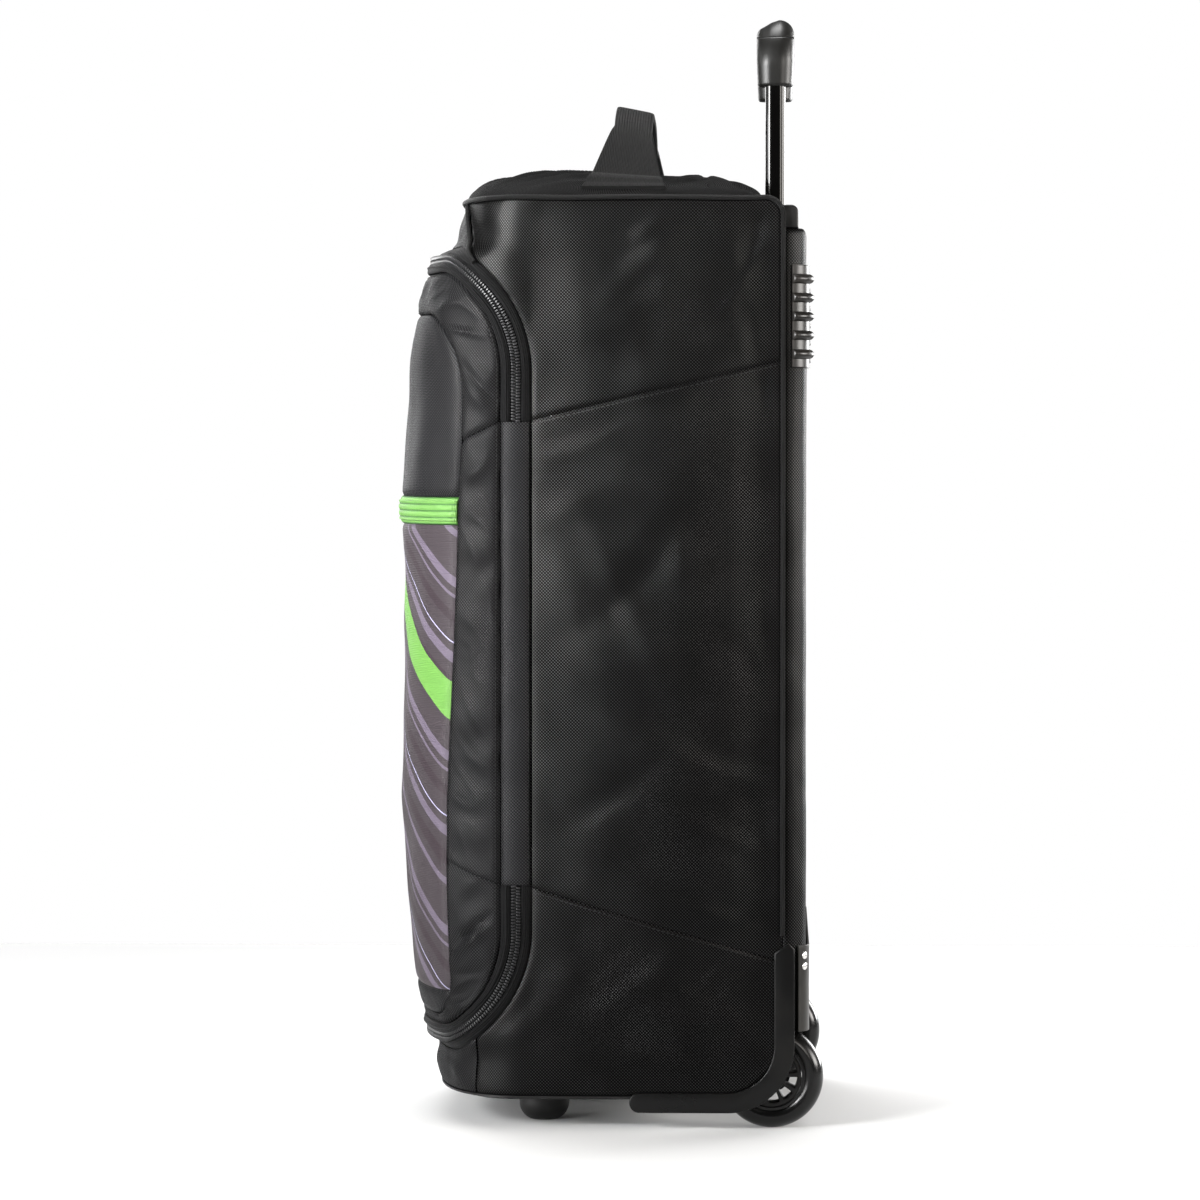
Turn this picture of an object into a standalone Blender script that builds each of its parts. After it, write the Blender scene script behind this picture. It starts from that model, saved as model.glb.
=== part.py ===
"""Wheeled kit bag: a soft hollow bag on two wheels, with a telescopic handle.

Metres, +Z up. The front of the bag faces -Y, the handle and wheels are at +Y, and the
origin is on the floor, under the middle of the whole bag.
"""
import math

import bmesh
import bpy
import numpy as np
from mathutils import Matrix, Vector

# Clearances and cloth
GAP = 0.0003
SEAM = 0.0005
CLOTH = 0.0025

# How finely the curved cloth is cut into flat faces
BEND_STEPS = 7
FOOT_STEP = 4
LEVEL_STEPS = 5
STRIP_ROWS = 4
PRINT_ROWS = 6
CROWN_ROWS = 9
CROWN_COLUMNS = 13

# The bag's main form
HALF_WIDTH = 0.180
FRONT_SEAM_Y = -0.058
LID_REACH = 0.114
REAR_SEAM_Y = 0.1396
BACK_Y = 0.158
FLOOR_Z = 0.024
TOP_Z = 0.734
SIDE_LOW_Z = FLOOR_Z + CLOTH + GAP
CROWN_RISE = 0.027
SIDE_PUFF = 0.008
REAR_TOP_DROP = 0.014
PLAN_FULLNESS = 2.6
PLAN_STEPS = 61
BACK_TOP_ROUND = 0.008
CORNER_CURVE = 1.6

# The lid, its zip and its panels, as distances on the cloth
LID_TOP_Z = 0.697
LID_BOTTOM_Z = 0.058
LID_CORNER = 0.100
BAND_SIDE = 0.025
BAND_END = 0.020
BAND_INNER_CORNER = 0.078
ZIP_TOP_CUT_Z = 0.558
ZIP_LOW_CUT_Z = 0.193
ZIP_CHAIN_WIDTH = 0.007
ZIP_CHAIN_HEIGHT = 0.0022
GUSSET_TOP_CUT_DROP = 0.015
GUSSET_LOW_CUT_RISE = 0.018
PANEL_EDGE_TOP = 0.060
PANEL_EDGE_LOW = 0.078
PANEL_TOP_Z = 0.6437
PANEL_TOP_CORNER = 0.066
PANEL_LOW_Z = 0.086
PANEL_LOW_CORNER = 0.030
POCKET_ZIP_Z = 0.4875
POCKET_ZIP_HEIGHT = 0.022
PRINT_LOW_Z = 0.1065
FRONT_PIPING_TOP = 0.112
FRONT_SEAM_LOW = 0.056
PIPING_RADIUS = 0.002
PIPING_STEPS = 14
PIPING_FOOT_RISE = 0.006

# Side panel seams, front and rear heights
UPPER_SEAM_FRONT_Z = 0.559
UPPER_SEAM_REAR_Z = 0.606
LOWER_SEAM_FRONT_Z = 0.191
LOWER_SEAM_REAR_Z = 0.133

# Webbing handle on the crown
STRAP_GRIP_Y = 0.020
STRAP_FOOT_Y = 0.014
STRAP_FOOT_INSET = 0.003
STRAP_FOOT_WIDTH = 0.066
STRAP_GRIP_WIDTH = 0.030
STRAP_THICKNESS = 0.0025
STRAP_GRIP_THICKNESS = 0.007
STRAP_GRIP_SHARE = 0.40
STRAP_FLARE_SHARE = 0.86
STRAP_ROLL = 0.20
STRAP_TOP_Z = 0.815
STRAP_ARCH = 2.6

# Telescopic handle
TUBE_INSET = 0.090
TUBE_X = HALF_WIDTH - TUBE_INSET
TUBE_Y = 0.1333
TUBE_WIDE = 0.022
TUBE_DEEP = 0.016
TUBE_WALL = 0.0015
TUBE_CORNER = 0.005
TUBE_SLIDE_CLEARANCE = 0.0005
INNER_TUBE_LOW_Z = 0.330
GRIP_TOP_Z = 0.881
GRIP_HEIGHT = 0.055
GRIP_FOOT_Z = GRIP_TOP_Z - GRIP_HEIGHT
GRIP_DEEP = 0.030
GRIP_THICK = 0.028
GRIP_BEND = 0.024
GRIP_SLANT = 0.006
GRIP_CORNER = 0.011
SOCKET_DEPTH = 0.014
BUTTON_LENGTH = 0.036
BUTTON_WIDTH = 0.012
BUTTON_DEPTH = 0.005
BUTTON_SETBACK = 0.003
BUTTON_SINK = 0.0005
BUTTON_EDGE = 0.001
PLATE_TOP_Z = 0.728
PLATE_THICKNESS = 0.018
PLATE_ROUND = 0.006
PLATE_FRONT_Y = 0.115
PLATE_REAR_Y = 0.1515
CROWN_REAR_Y = 0.1225

# Wheels, their tray, rails and feet
WHEEL_RADIUS = 0.041
WHEEL_WIDTH = 0.024
WHEEL_INSET = 0.022
WHEEL_X = HALF_WIDTH - WHEEL_INSET
AXLE_Y = 0.131
TYRE_BORE = 0.024
TYRE_BEAD = 0.88
TYRE_SHOULDER = 1.25
TYRE_ROWS = 7
WHEEL_SIDES = 24
HUB_WIDTH = 0.020
HUB_RING = 0.0205
HUB_BOSS = 0.0115
HUB_WINDOWS = 10
SPOKE_SHARE = 0.30
AXLE_RADIUS = 0.004
AXLE_HEAD_RADIUS = 0.007
AXLE_HEAD_HEIGHT = 0.003
AXLE_SOCKET_DEPTH = 0.0023
BOLT_SIDES = 12
TRAY_WALL = 0.003
WHEEL_ROOM = 0.006
BRACKET_WIDTH = 0.030
BRACKET_GAP = 0.003
RAIL_WIDTH = 0.0157
RAIL_THICKNESS = 0.0035
RAIL_REAR_Y = 0.149
RAIL_LOW_Z = 0.014
RAIL_OUTER_BEND = 0.053
RAIL_TOP_Z = 0.148
RAIL_FRONT_Y = 0.019
RAIL_SOFT_EDGE = 0.035
RAIL_CHAMFER = 0.0047
RAIL_TOP_SLANT = 0.0079
KICK_PLATE_THICKNESS = 0.0015
KICK_PLATE_TOP_Z = 0.146
BACK_LOW_Z = 0.078
RIVET_RADIUS = 0.003
RIVET_HEIGHT = 0.0015
RIVET_SPACING = 0.0085
RIVET_TOP_Z = 0.138
RIVET_TURN_DEG = 54.0
FOOT_INSET = 0.069
FOOT_X = HALF_WIDTH - FOOT_INSET
FOOT_Y = -0.051
FOOT_RADIUS = 0.020
FOOT_FLAT = 0.008
FOOT_DOME_SHARE = 0.6
FOOT_SIDES = 16

# Ribbed skids on the rear corners
SKID_LOW_Z = 0.600
SKID_HEIGHT = 0.081
SKID_RIBS = 5
SKID_BASE = 0.0015
SKID_RIB = 0.0042
SKID_START_DEG = 20.0
SKID_END_DEG = 88.0

SIDES = {"right": 1.0, "left": -1.0}

# Mid-plane outline of the front. Columns: height as a share of the bag's height from
# floor to top edge, reach as a share of LID_REACH in front of the side seam.
FRONT_OUTLINE = [
    (0.000, 0.693),
    (0.013, 0.728),
    (0.030, 0.731),
    (0.045, 0.715),
    (0.052, 0.745),
    (0.063, 0.807),
    (0.101, 0.875),
    (0.142, 0.918),
    (0.215, 0.961),
    (0.287, 0.975),
    (0.327, 0.997),
    (0.422, 0.990),
    (0.503, 0.975),
    (0.600, 0.978),
    (0.654, 1.000),
    (0.687, 0.990),
    (0.780, 0.947),
    (0.821, 0.932),
    (0.854, 0.900),
    (0.901, 0.839),
    (0.939, 0.760),
    (0.948, 0.614),
    (0.956, 0.579),
    (1.000, 0.509),
]

# Soft dents in the side cloth. Columns: place along the side from the front seam, place
# up the bag, length and width of the dent, all as shares of the side's depth, then the
# depth as a share of SIDE_PUFF and the turn of its long way from level, in degrees.
SIDE_DENTS = [
    (0.24, 0.86, 0.55, 0.10, 0.55, 62.0),
    (0.72, 0.78, 0.60, 0.09, 0.40, -52.0),
    (0.30, 0.55, 0.70, 0.13, 0.45, 38.0),
    (0.64, 0.40, 0.80, 0.14, 0.40, -34.0),
    (0.78, 0.11, 0.42, 0.08, 0.55, -28.0),
    (0.22, 0.14, 0.40, 0.09, 0.45, 40.0),
]

# Folds across the lid's gusset. Columns: place along the arch from one cut end to the
# other, half length along the arch, both as shares of it, then height out of the cloth
# as a share of FOLD_HEIGHT.
FOLD_HEIGHT = 0.005
UPPER_FOLDS = [
    (0.07, 0.035, 0.8),
    (0.17, 0.030, -0.7),
    (0.25, 0.030, 1.0),
    (0.34, 0.040, -0.6),
    (0.50, 0.060, 0.5),
    (0.66, 0.040, -0.7),
    (0.76, 0.030, 0.9),
    (0.84, 0.030, -0.6),
    (0.93, 0.035, 0.8),
]
LOWER_FOLDS = [
    (0.08, 0.040, 0.7),
    (0.18, 0.030, -0.8),
    (0.27, 0.035, 1.0),
    (0.38, 0.050, -0.5),
    (0.50, 0.060, 0.4),
    (0.62, 0.050, -0.5),
    (0.73, 0.035, 1.0),
    (0.82, 0.030, -0.8),
    (0.92, 0.040, 0.7),
]

# Puckers in the crown. Columns: place across, place back, both from -1 to 1, spread as a
# share of the half width, then height as a share of CROWN_RISE.
CROWN_PUCKERS = [
    (-0.55, -0.50, 0.22, 0.16),
    (0.58, -0.45, 0.20, 0.14),
    (-0.10, -0.72, 0.16, -0.14),
    (0.35, 0.10, 0.18, -0.12),
    (-0.40, 0.35, 0.24, 0.12),
    (0.60, 0.65, 0.18, -0.14),
]

MATERIALS = {
    "bag_cloth": ("2b2b2b", 0.75, 0.0),
    "twill_cloth": ("252525", 0.80, 0.0),
    "lid_print": ("4d454a", 0.70, 0.0),
    "lime_zip": ("9fe860", 0.60, 0.0),
    "black_zip": ("161616", 0.55, 0.0),
    "webbing": ("1a1a1a", 0.85, 0.0),
    "piping": ("1c1c1c", 0.55, 0.0),
    "anodised_tube": ("0c0c0d", 0.18, 0.6),
    "moulded_plastic": ("161616", 0.45, 0.0),
    "painted_steel": ("1d1c1a", 0.35, 0.4),
    "bright_steel": ("c8c8c6", 0.25, 1.0),
    "tyre_rubber": ("0d0d0d", 0.22, 0.0),
    "wheel_hub": ("2a2a2a", 0.45, 0.0),
}


def linear(channel):
    """One sRGB channel from 0 to 1 as linear light."""
    if channel <= 0.04045:
        return channel / 12.92
    return ((channel + 0.055) / 1.055) ** 2.4


def make_material(name):
    """A Principled BSDF with the part's colour, roughness and metallic value."""
    code, roughness, metallic = MATERIALS[name]
    material = bpy.data.materials.new(name)
    material.use_nodes = True
    shader = material.node_tree.nodes["Principled BSDF"]
    colour = [linear(int(code[i:i + 2], 16) / 255.0) for i in (0, 2, 4)]
    shader.inputs["Base Color"].default_value = (*colour, 1.0)
    shader.inputs["Roughness"].default_value = roughness
    shader.inputs["Metallic"].default_value = metallic
    return material


def add_object(name, mesh, material):
    """Put a mesh in the scene as a named object with its material."""
    thing = bpy.data.objects.new(name, mesh)
    bpy.context.scene.collection.objects.link(thing)
    mesh.materials.append(bpy.data.materials.get(material) or make_material(material))
    return thing


def finish_bmesh(name, bm, material, smooth_deg=35.0):
    """Turn a bmesh into an object with its faces pointing out."""
    bmesh.ops.recalc_face_normals(bm, faces=bm.faces)
    mesh = bpy.data.meshes.new(name)
    bm.to_mesh(mesh)
    bm.free()
    mesh.shade_smooth()
    mesh.set_sharp_from_angle(angle=math.radians(smooth_deg))
    return add_object(name, mesh, material)


# Surfaces of the bag


def reach_at(z):
    """How far the front stands before the side seam, at a height."""
    share = (z - FLOOR_Z) / (TOP_Z - FLOOR_Z)
    heights = [row[0] for row in FRONT_OUTLINE]
    reaches = [row[1] for row in FRONT_OUTLINE]
    return LID_REACH * float(np.interp(share, heights, reaches))


def plan_curve(reach):
    """Half of the front seen from above, mid front to side seam: length, x and y."""
    angles = np.linspace(0.0, math.pi / 2.0, PLAN_STEPS)
    power = 2.0 / PLAN_FULLNESS
    x = HALF_WIDTH * np.sin(angles) ** power
    y = FRONT_SEAM_Y - reach * np.abs(np.cos(angles)) ** power
    length = np.concatenate([[0.0], np.cumsum(np.hypot(np.diff(x), np.diff(y)))])
    return length, x, y


HALF_LENGTH = float(plan_curve(LID_REACH)[0][-1])


def front_spot(along, z):
    """A point of the front and its level outward direction, by distance from mid front."""
    reach = reach_at(z)
    length, plan_x, plan_y = plan_curve(reach)
    place = min(abs(along) / HALF_LENGTH, 1.0) * length[-1]
    side = math.copysign(1.0, along)
    x = float(np.interp(place, length, plan_x))
    y = float(np.interp(place, length, plan_y))
    out_x = (x / HALF_WIDTH) ** (PLAN_FULLNESS - 1.0) / HALF_WIDTH
    out_y = (abs(y - FRONT_SEAM_Y) / reach) ** (PLAN_FULLNESS - 1.0) / reach
    size = math.hypot(out_x, out_y)
    return Vector((side * x, y, z)), Vector((side * out_x / size, -out_y / size, 0.0))


def rail_room(y, z):
    """How far a point of the side lies inside the rail's inner edge."""
    rear = RAIL_REAR_Y - RAIL_WIDTH
    low = RAIL_LOW_Z + RAIL_WIDTH
    bend = RAIL_OUTER_BEND - RAIL_WIDTH
    if y > rear - bend and z < low + bend:
        return bend - math.hypot(y - (rear - bend), z - (low + bend))
    return min(rear - y, z - low)


def side_puff(y, z):
    """How far the side cloth stands out of its flat frame, with its dents."""
    along = (y - FRONT_SEAM_Y) / (REAR_SEAM_Y - FRONT_SEAM_Y)
    up = (z - FLOOR_Z) / (TOP_Z - 2.0 * PIPING_RADIUS - FLOOR_Z)
    room = rail_room(y, z)
    if not (0.0 < along < 1.0 and 0.0 < up < 1.0 and room > 0.0):
        return 0.0
    edge = math.sin(math.pi * along) ** 0.8 * math.sin(math.pi * up) ** 0.6
    edge *= min(1.0, room / RAIL_SOFT_EDGE)
    depth = REAR_SEAM_Y - FRONT_SEAM_Y
    puff = 1.0
    for place, rise, long_way, wide_way, dent, turn in SIDE_DENTS:
        dy = along - place
        dz = (up - rise) * (TOP_Z - FLOOR_Z) / depth
        angle = math.radians(turn)
        run = (dy * math.cos(angle) + dz * math.sin(angle)) / (0.5 * long_way)
        across = (dz * math.cos(angle) - dy * math.sin(angle)) / (0.5 * wide_way)
        puff -= dent * math.exp(-run * run - across * across)
    return SIDE_PUFF * edge * puff


def flank_spot(side, forward, z):
    """A point of the side and its outward direction, by distance past the front seam."""
    if forward >= 0.0:
        return front_spot(side * (HALF_LENGTH - forward), z)
    y = FRONT_SEAM_Y - forward
    return Vector((side * (HALF_WIDTH + side_puff(y, z)), y, z)), Vector((side, 0.0, 0.0))


def wall(name, outer, inner, material):
    """A closed wall between two grids of points, given row by row."""
    bm = bmesh.new()
    grids = [[[bm.verts.new(point) for point in row] for row in grid] for grid in (outer, inner)]
    rows = len(outer)
    columns = len(outer[0])
    for grid in grids:
        for i in range(rows - 1):
            for j in range(columns - 1):
                bm.faces.new((grid[i][j], grid[i][j + 1], grid[i + 1][j + 1], grid[i + 1][j]))
    rims = [grid_rim(grid) for grid in grids]
    count = len(rims[0])
    for k in range(count):
        n = (k + 1) % count
        bm.faces.new((rims[0][k], rims[0][n], rims[1][n], rims[1][k]))
    return finish_bmesh(name, bm, material)


def grid_rim(grid):
    """The border of a grid, in order round it."""
    rim = list(grid[0])
    rim += [row[-1] for row in grid[1:]]
    rim += list(reversed(grid[-1][:-1]))
    rim += [row[0] for row in reversed(grid[1:-1])]
    return rim


def cloth_wall(name, spots, material, lifts=None, thickness=CLOTH):
    """A cloth wall from a grid of points and outward directions, thickened inwards."""
    outer = []
    inner = []
    for i, row in enumerate(spots):
        outer_row = []
        inner_row = []
        for j, (point, outward) in enumerate(row):
            lift = 0.0 if lifts is None else lifts[i][j]
            outer_row.append(point + outward * lift)
            inner_row.append(point + outward * (lift - thickness))
        outer.append(outer_row)
        inner.append(inner_row)
    return wall(name, outer, inner, material)


# Side panels


def seam_height(front_z, rear_z, forward):
    """Height of a straight side seam at a place on the side."""
    share = min(max(-forward / (REAR_SEAM_Y - FRONT_SEAM_Y), 0.0), 1.0)
    return front_z + (rear_z - front_z) * share


def upper_seam(forward):
    """Height of the seam between the middle and upper side cloth."""
    return seam_height(UPPER_SEAM_FRONT_Z, UPPER_SEAM_REAR_Z, forward)


def lower_seam(forward):
    """Height of the seam between the lower and middle side cloth."""
    return seam_height(LOWER_SEAM_FRONT_Z, LOWER_SEAM_REAR_Z, forward)


def top_edge_height(forward):
    """Height of the side's top edge, which rounds down at the rear corner."""
    into = -forward - (REAR_SEAM_Y - FRONT_SEAM_Y - REAR_TOP_DROP)
    share = min(max(into / REAR_TOP_DROP, 0.0), 1.0)
    return TOP_Z - REAR_TOP_DROP * (1.0 - math.sqrt(1.0 - share * share))


def bottom_edge_height(forward):
    """Height of the side's bottom edge, which rounds up inside the rail's bend."""
    start = RAIL_REAR_Y - RAIL_OUTER_BEND
    bend = REAR_SEAM_Y - start
    share = min(max((FRONT_SEAM_Y - forward - start) / bend, 0.0), 1.0)
    rise = (1.0 - share ** CORNER_CURVE) ** (1.0 / CORNER_CURVE)
    return SIDE_LOW_Z + bend * (1.0 - rise)


def bend_heights(end_z, way):
    """Heights of the lid loop's samples round one corner, from its straight side on."""
    angles = np.linspace(0.0, math.pi / 2.0, BEND_STEPS)
    return [end_z - way * LID_CORNER * (1.0 - math.sin(angle)) for angle in angles]


def lid_edge_forward(z):
    """How far past the side seam the cloth reaches at a height, up to the zip band."""
    over = max(z - (LID_TOP_Z - LID_CORNER), (LID_BOTTOM_Z + LID_CORNER) - z, 0.0)
    over = min(over, LID_CORNER)
    return LID_CORNER - math.sqrt(LID_CORNER ** 2 - over ** 2)


TOP_FOOT_Z = bend_heights(LID_TOP_Z, 1.0)[FOOT_STEP]
LOW_FOOT_Z = bend_heights(LID_BOTTOM_Z, -1.0)[FOOT_STEP]


def front_limit(z):
    """The side cloth's front edge: the zip band, then the upright piping or seam."""
    if z > TOP_FOOT_Z:
        share = (z - TOP_FOOT_Z) / (TOP_Z - TOP_FOOT_Z)
        foot = lid_edge_forward(TOP_FOOT_Z)
        return foot + (FRONT_PIPING_TOP - foot) * share
    if z < LOW_FOOT_Z:
        share = (LOW_FOOT_Z - z) / (LOW_FOOT_Z - FLOOR_Z)
        foot = lid_edge_forward(LOW_FOOT_Z)
        return foot + (FRONT_SEAM_LOW - foot) * share
    return lid_edge_forward(z)


def shares(count, ease=0.0):
    """Numbers from 0 to 1, drawn closer at both ends by ease."""
    even = np.linspace(0.0, 1.0, count)
    return (1.0 - ease) * even + ease * 0.5 * (1.0 - np.cos(math.pi * even))


def side_panel(name, side, low, high, front_heights, columns):
    """One side panel between two height functions, with a row for each front height."""
    rear = FRONT_SEAM_Y - REAR_SEAM_Y + GAP
    spots = []
    for front_z in front_heights:
        up = (front_z - low(0.0)) / (high(0.0) - low(0.0))
        front = front_limit(front_z) - SEAM
        row = []
        for along in shares(columns, 0.3):
            forward = rear + (front - rear) * along
            bottom = low(forward) + 0.5 * GAP
            top = high(forward) - 0.5 * GAP
            row.append(flank_spot(side, forward, bottom + (top - bottom) * up))
        spots.append(row)
    cloth_wall(name, spots, "bag_cloth")


def make_side_panels():
    """Lower, middle and upper cloth of both sides."""
    low_rows = list(np.linspace(SIDE_LOW_Z, LOW_FOOT_Z, STRIP_ROWS))
    low_rows += list(reversed(bend_heights(LID_BOTTOM_Z, -1.0)[:FOOT_STEP]))
    low_rows.append(LOWER_SEAM_FRONT_Z)
    middle_rows = np.linspace(LOWER_SEAM_FRONT_Z, UPPER_SEAM_FRONT_Z, 9)
    top_rows = [UPPER_SEAM_FRONT_Z]
    top_rows += bend_heights(LID_TOP_Z, 1.0)[:FOOT_STEP]
    top_rows += list(np.linspace(TOP_FOOT_Z, TOP_Z, STRIP_ROWS))
    for word, side in SIDES.items():
        side_panel("side_lower_" + word, side, bottom_edge_height, lower_seam, low_rows, 10)
        side_panel("side_middle_" + word, side, lower_seam, upper_seam, middle_rows, 8)
        side_panel("side_upper_" + word, side, upper_seam, top_edge_height, top_rows, 10)


# Front, lid and zip


def arch(side, cut_z, end_z, corner):
    """A rounded loop on the front cloth, from the right side over to the left."""
    way = math.copysign(1.0, end_z - cut_z)
    right = []
    for share in (0.0, 0.5):
        right.append((side, cut_z + (end_z - way * corner - cut_z) * share))
    for angle in np.linspace(0.0, math.pi / 2.0, BEND_STEPS):
        rise = corner * (1.0 - math.sin(angle))
        right.append((side - corner + corner * math.cos(angle), end_z - way * rise))
    for share in np.linspace(0.0, 1.0, LEVEL_STEPS)[1:]:
        right.append(((side - corner) * (1.0 - share), end_z))
    return right + [(-c, z) for c, z in reversed(right[:-1])]


def ring_spots(outer, inner, columns):
    """Points and outward directions between two loops on the front cloth."""
    return [
        [front_spot(c0 + (c1 - c0) * share, z0 + (z1 - z0) * share) for share in columns]
        for (c0, z0), (c1, z1) in zip(outer, inner)
    ]


def fold_heights(rows, columns, folds):
    """Heights of the folds in a table, fading out at both long edges of a strip."""
    along = np.linspace(0.0, 1.0, rows)[:, None]
    across = np.sin(math.pi * np.linspace(0.0, 1.0, columns))[None, :]
    heights = np.zeros((rows, columns))
    for place, half_length, height in folds:
        swell = np.exp(-((along - place) / half_length) ** 2)
        heights = heights + FOLD_HEIGHT * height * swell * across
    heights[0] = 0.0
    heights[-1] = 0.0
    return heights


INNER_LOW_CUT_Z = ZIP_LOW_CUT_Z + GUSSET_LOW_CUT_RISE
INNER_TOP_CUT_Z = ZIP_TOP_CUT_Z - GUSSET_TOP_CUT_DROP


def panel_edge(z):
    """Distance on the cloth from the side seam to the edge of the lid's front panels."""
    return float(np.interp(
        z, [INNER_LOW_CUT_Z, INNER_TOP_CUT_Z], [PANEL_EDGE_LOW, PANEL_EDGE_TOP]))


def make_zip_bands():
    """The zip's two bands, their raised chains, and the plain strips between them."""
    outer_side = HALF_LENGTH
    inner_side = HALF_LENGTH - BAND_SIDE
    chain_half = 0.5 * ZIP_CHAIN_WIDTH / BAND_SIDE
    columns = (0.0, 0.5 - chain_half, 0.5 + chain_half, 1.0)
    for word, cut_z, end_z in (
        ("upper", ZIP_TOP_CUT_Z + 0.5 * GAP, LID_TOP_Z),
        ("lower", ZIP_LOW_CUT_Z - 0.5 * GAP, LID_BOTTOM_Z),
    ):
        way = math.copysign(1.0, end_z - cut_z)
        outer = arch(outer_side, cut_z, end_z, LID_CORNER)
        inner = arch(inner_side, cut_z, end_z - way * BAND_END, BAND_INNER_CORNER)
        cloth_wall("zip_band_" + word, ring_spots(outer, inner, columns), "twill_cloth")
        chain = ring_spots(outer, inner, columns[1:3])
        lifts = np.full((len(chain), 2), GAP + ZIP_CHAIN_HEIGHT)
        cloth_wall("zip_chain_" + word, chain, "black_zip", lifts, ZIP_CHAIN_HEIGHT)

    for word, side in SIDES.items():
        spots = []
        for share in side_row_shares():
            low = ZIP_LOW_CUT_Z + 0.5 * GAP
            z = low + (ZIP_TOP_CUT_Z - 0.5 * GAP - low) * share
            spots.append([
                front_spot(side * (inner_side + (outer_side - inner_side) * across), z)
                for across in (0.0, 0.5, 1.0)
            ])
        cloth_wall("zip_placket_" + word, spots, "twill_cloth")


def pocket_zip_heights():
    """Lower and upper edge of the lime zip."""
    return POCKET_ZIP_Z - 0.5 * POCKET_ZIP_HEIGHT, POCKET_ZIP_Z + 0.5 * POCKET_ZIP_HEIGHT


def side_row_shares():
    """Rows shared by the lid's side pieces: even rows, then the pocket zip's edges."""
    zip_low, zip_high = pocket_zip_heights()
    rows = list(np.linspace(INNER_LOW_CUT_Z, zip_low, PRINT_ROWS)) + [zip_high, INNER_TOP_CUT_Z]
    return [(z - INNER_LOW_CUT_Z) / (INNER_TOP_CUT_Z - INNER_LOW_CUT_Z) for z in rows]


def make_lid_gusset():
    """The folded strip round the lid, in an upper, a lower and two side lengths."""
    outer_side = HALF_LENGTH - BAND_SIDE - SEAM
    cuts = (
        ("upper", ZIP_TOP_CUT_Z, INNER_TOP_CUT_Z, LID_TOP_Z, PANEL_TOP_Z,
         PANEL_TOP_CORNER, UPPER_FOLDS),
        ("lower", ZIP_LOW_CUT_Z, INNER_LOW_CUT_Z, LID_BOTTOM_Z, PANEL_LOW_Z,
         PANEL_LOW_CORNER, LOWER_FOLDS),
    )
    columns = (0.0, 0.5, 1.0)
    for word, cut_z, inner_cut_z, end_z, panel_z, corner, folds in cuts:
        way = math.copysign(1.0, end_z - cut_z)
        near = way * 0.5 * GAP
        outer = arch(outer_side, cut_z + near, end_z - way * (BAND_END + SEAM),
                     BAND_INNER_CORNER)
        inner_side = HALF_LENGTH - panel_edge(inner_cut_z) + SEAM
        inner = arch(inner_side, inner_cut_z + near, panel_z + way * SEAM, corner + SEAM)
        spots = ring_spots(outer, inner, columns)
        lifts = fold_heights(len(spots), len(columns), folds)
        cloth_wall("lid_gusset_" + word, spots, "twill_cloth", lifts)

    for word, side in SIDES.items():
        spots = []
        for up in side_row_shares():
            row = []
            for share in columns:
                low = ZIP_LOW_CUT_Z + GUSSET_LOW_CUT_RISE * share + 0.5 * GAP
                high = ZIP_TOP_CUT_Z - GUSSET_TOP_CUT_DROP * share - 0.5 * GAP
                z = low + (high - low) * up
                inner_side = HALF_LENGTH - panel_edge(z) + SEAM
                row.append(front_spot(side * (outer_side + (inner_side - outer_side) * share), z))
            spots.append(row)
        cloth_wall("lid_gusset_" + word, spots, "twill_cloth")


def panel_rows():
    """Half widths and heights of the lid's front panels, from the chin to the top."""
    low_side = HALF_LENGTH - panel_edge(INNER_LOW_CUT_Z)
    high_side = HALF_LENGTH - panel_edge(INNER_TOP_CUT_Z)
    half = BEND_STEPS + 2
    lower = arch(low_side, INNER_LOW_CUT_Z, PANEL_LOW_Z, PANEL_LOW_CORNER)[:half]
    upper = arch(high_side, INNER_TOP_CUT_Z, PANEL_TOP_Z, PANEL_TOP_CORNER)[:half]
    middle = []
    for share in side_row_shares()[1:-1]:
        z = INNER_LOW_CUT_Z + (INNER_TOP_CUT_Z - INNER_LOW_CUT_Z) * share
        middle.append((HALF_LENGTH - panel_edge(z), z))
    return list(reversed(lower)) + middle + upper


def make_lid_panels():
    """The lid's front: plain top, lime pocket zip, printed pocket and chin."""
    rows = panel_rows()
    halves = [half for half, _ in rows]
    heights = [z for _, z in rows]
    zip_low, zip_high = pocket_zip_heights()
    pieces = (
        ("lid_top_panel", zip_high, PANEL_TOP_Z, "twill_cloth"),
        ("lid_pocket_zip", zip_low, zip_high, "lime_zip"),
        ("lid_print_panel", PRINT_LOW_Z, zip_low, "lid_print"),
        ("lid_chin_panel", PANEL_LOW_Z, PRINT_LOW_Z, "twill_cloth"),
    )
    for name, low, high, material in pieces:
        inside = [z for z in heights if low + CLOTH < z < high - SEAM]
        spots = []
        for z in [low + 0.5 * GAP] + inside + [high - 0.5 * GAP]:
            half = float(np.interp(z, heights, halves))
            across = np.linspace(-1.0, 1.0, 2 * LEVEL_STEPS - 1)
            spots.append([front_spot(half * share, z) for share in across])
        cloth_wall(name, spots, material)


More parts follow.
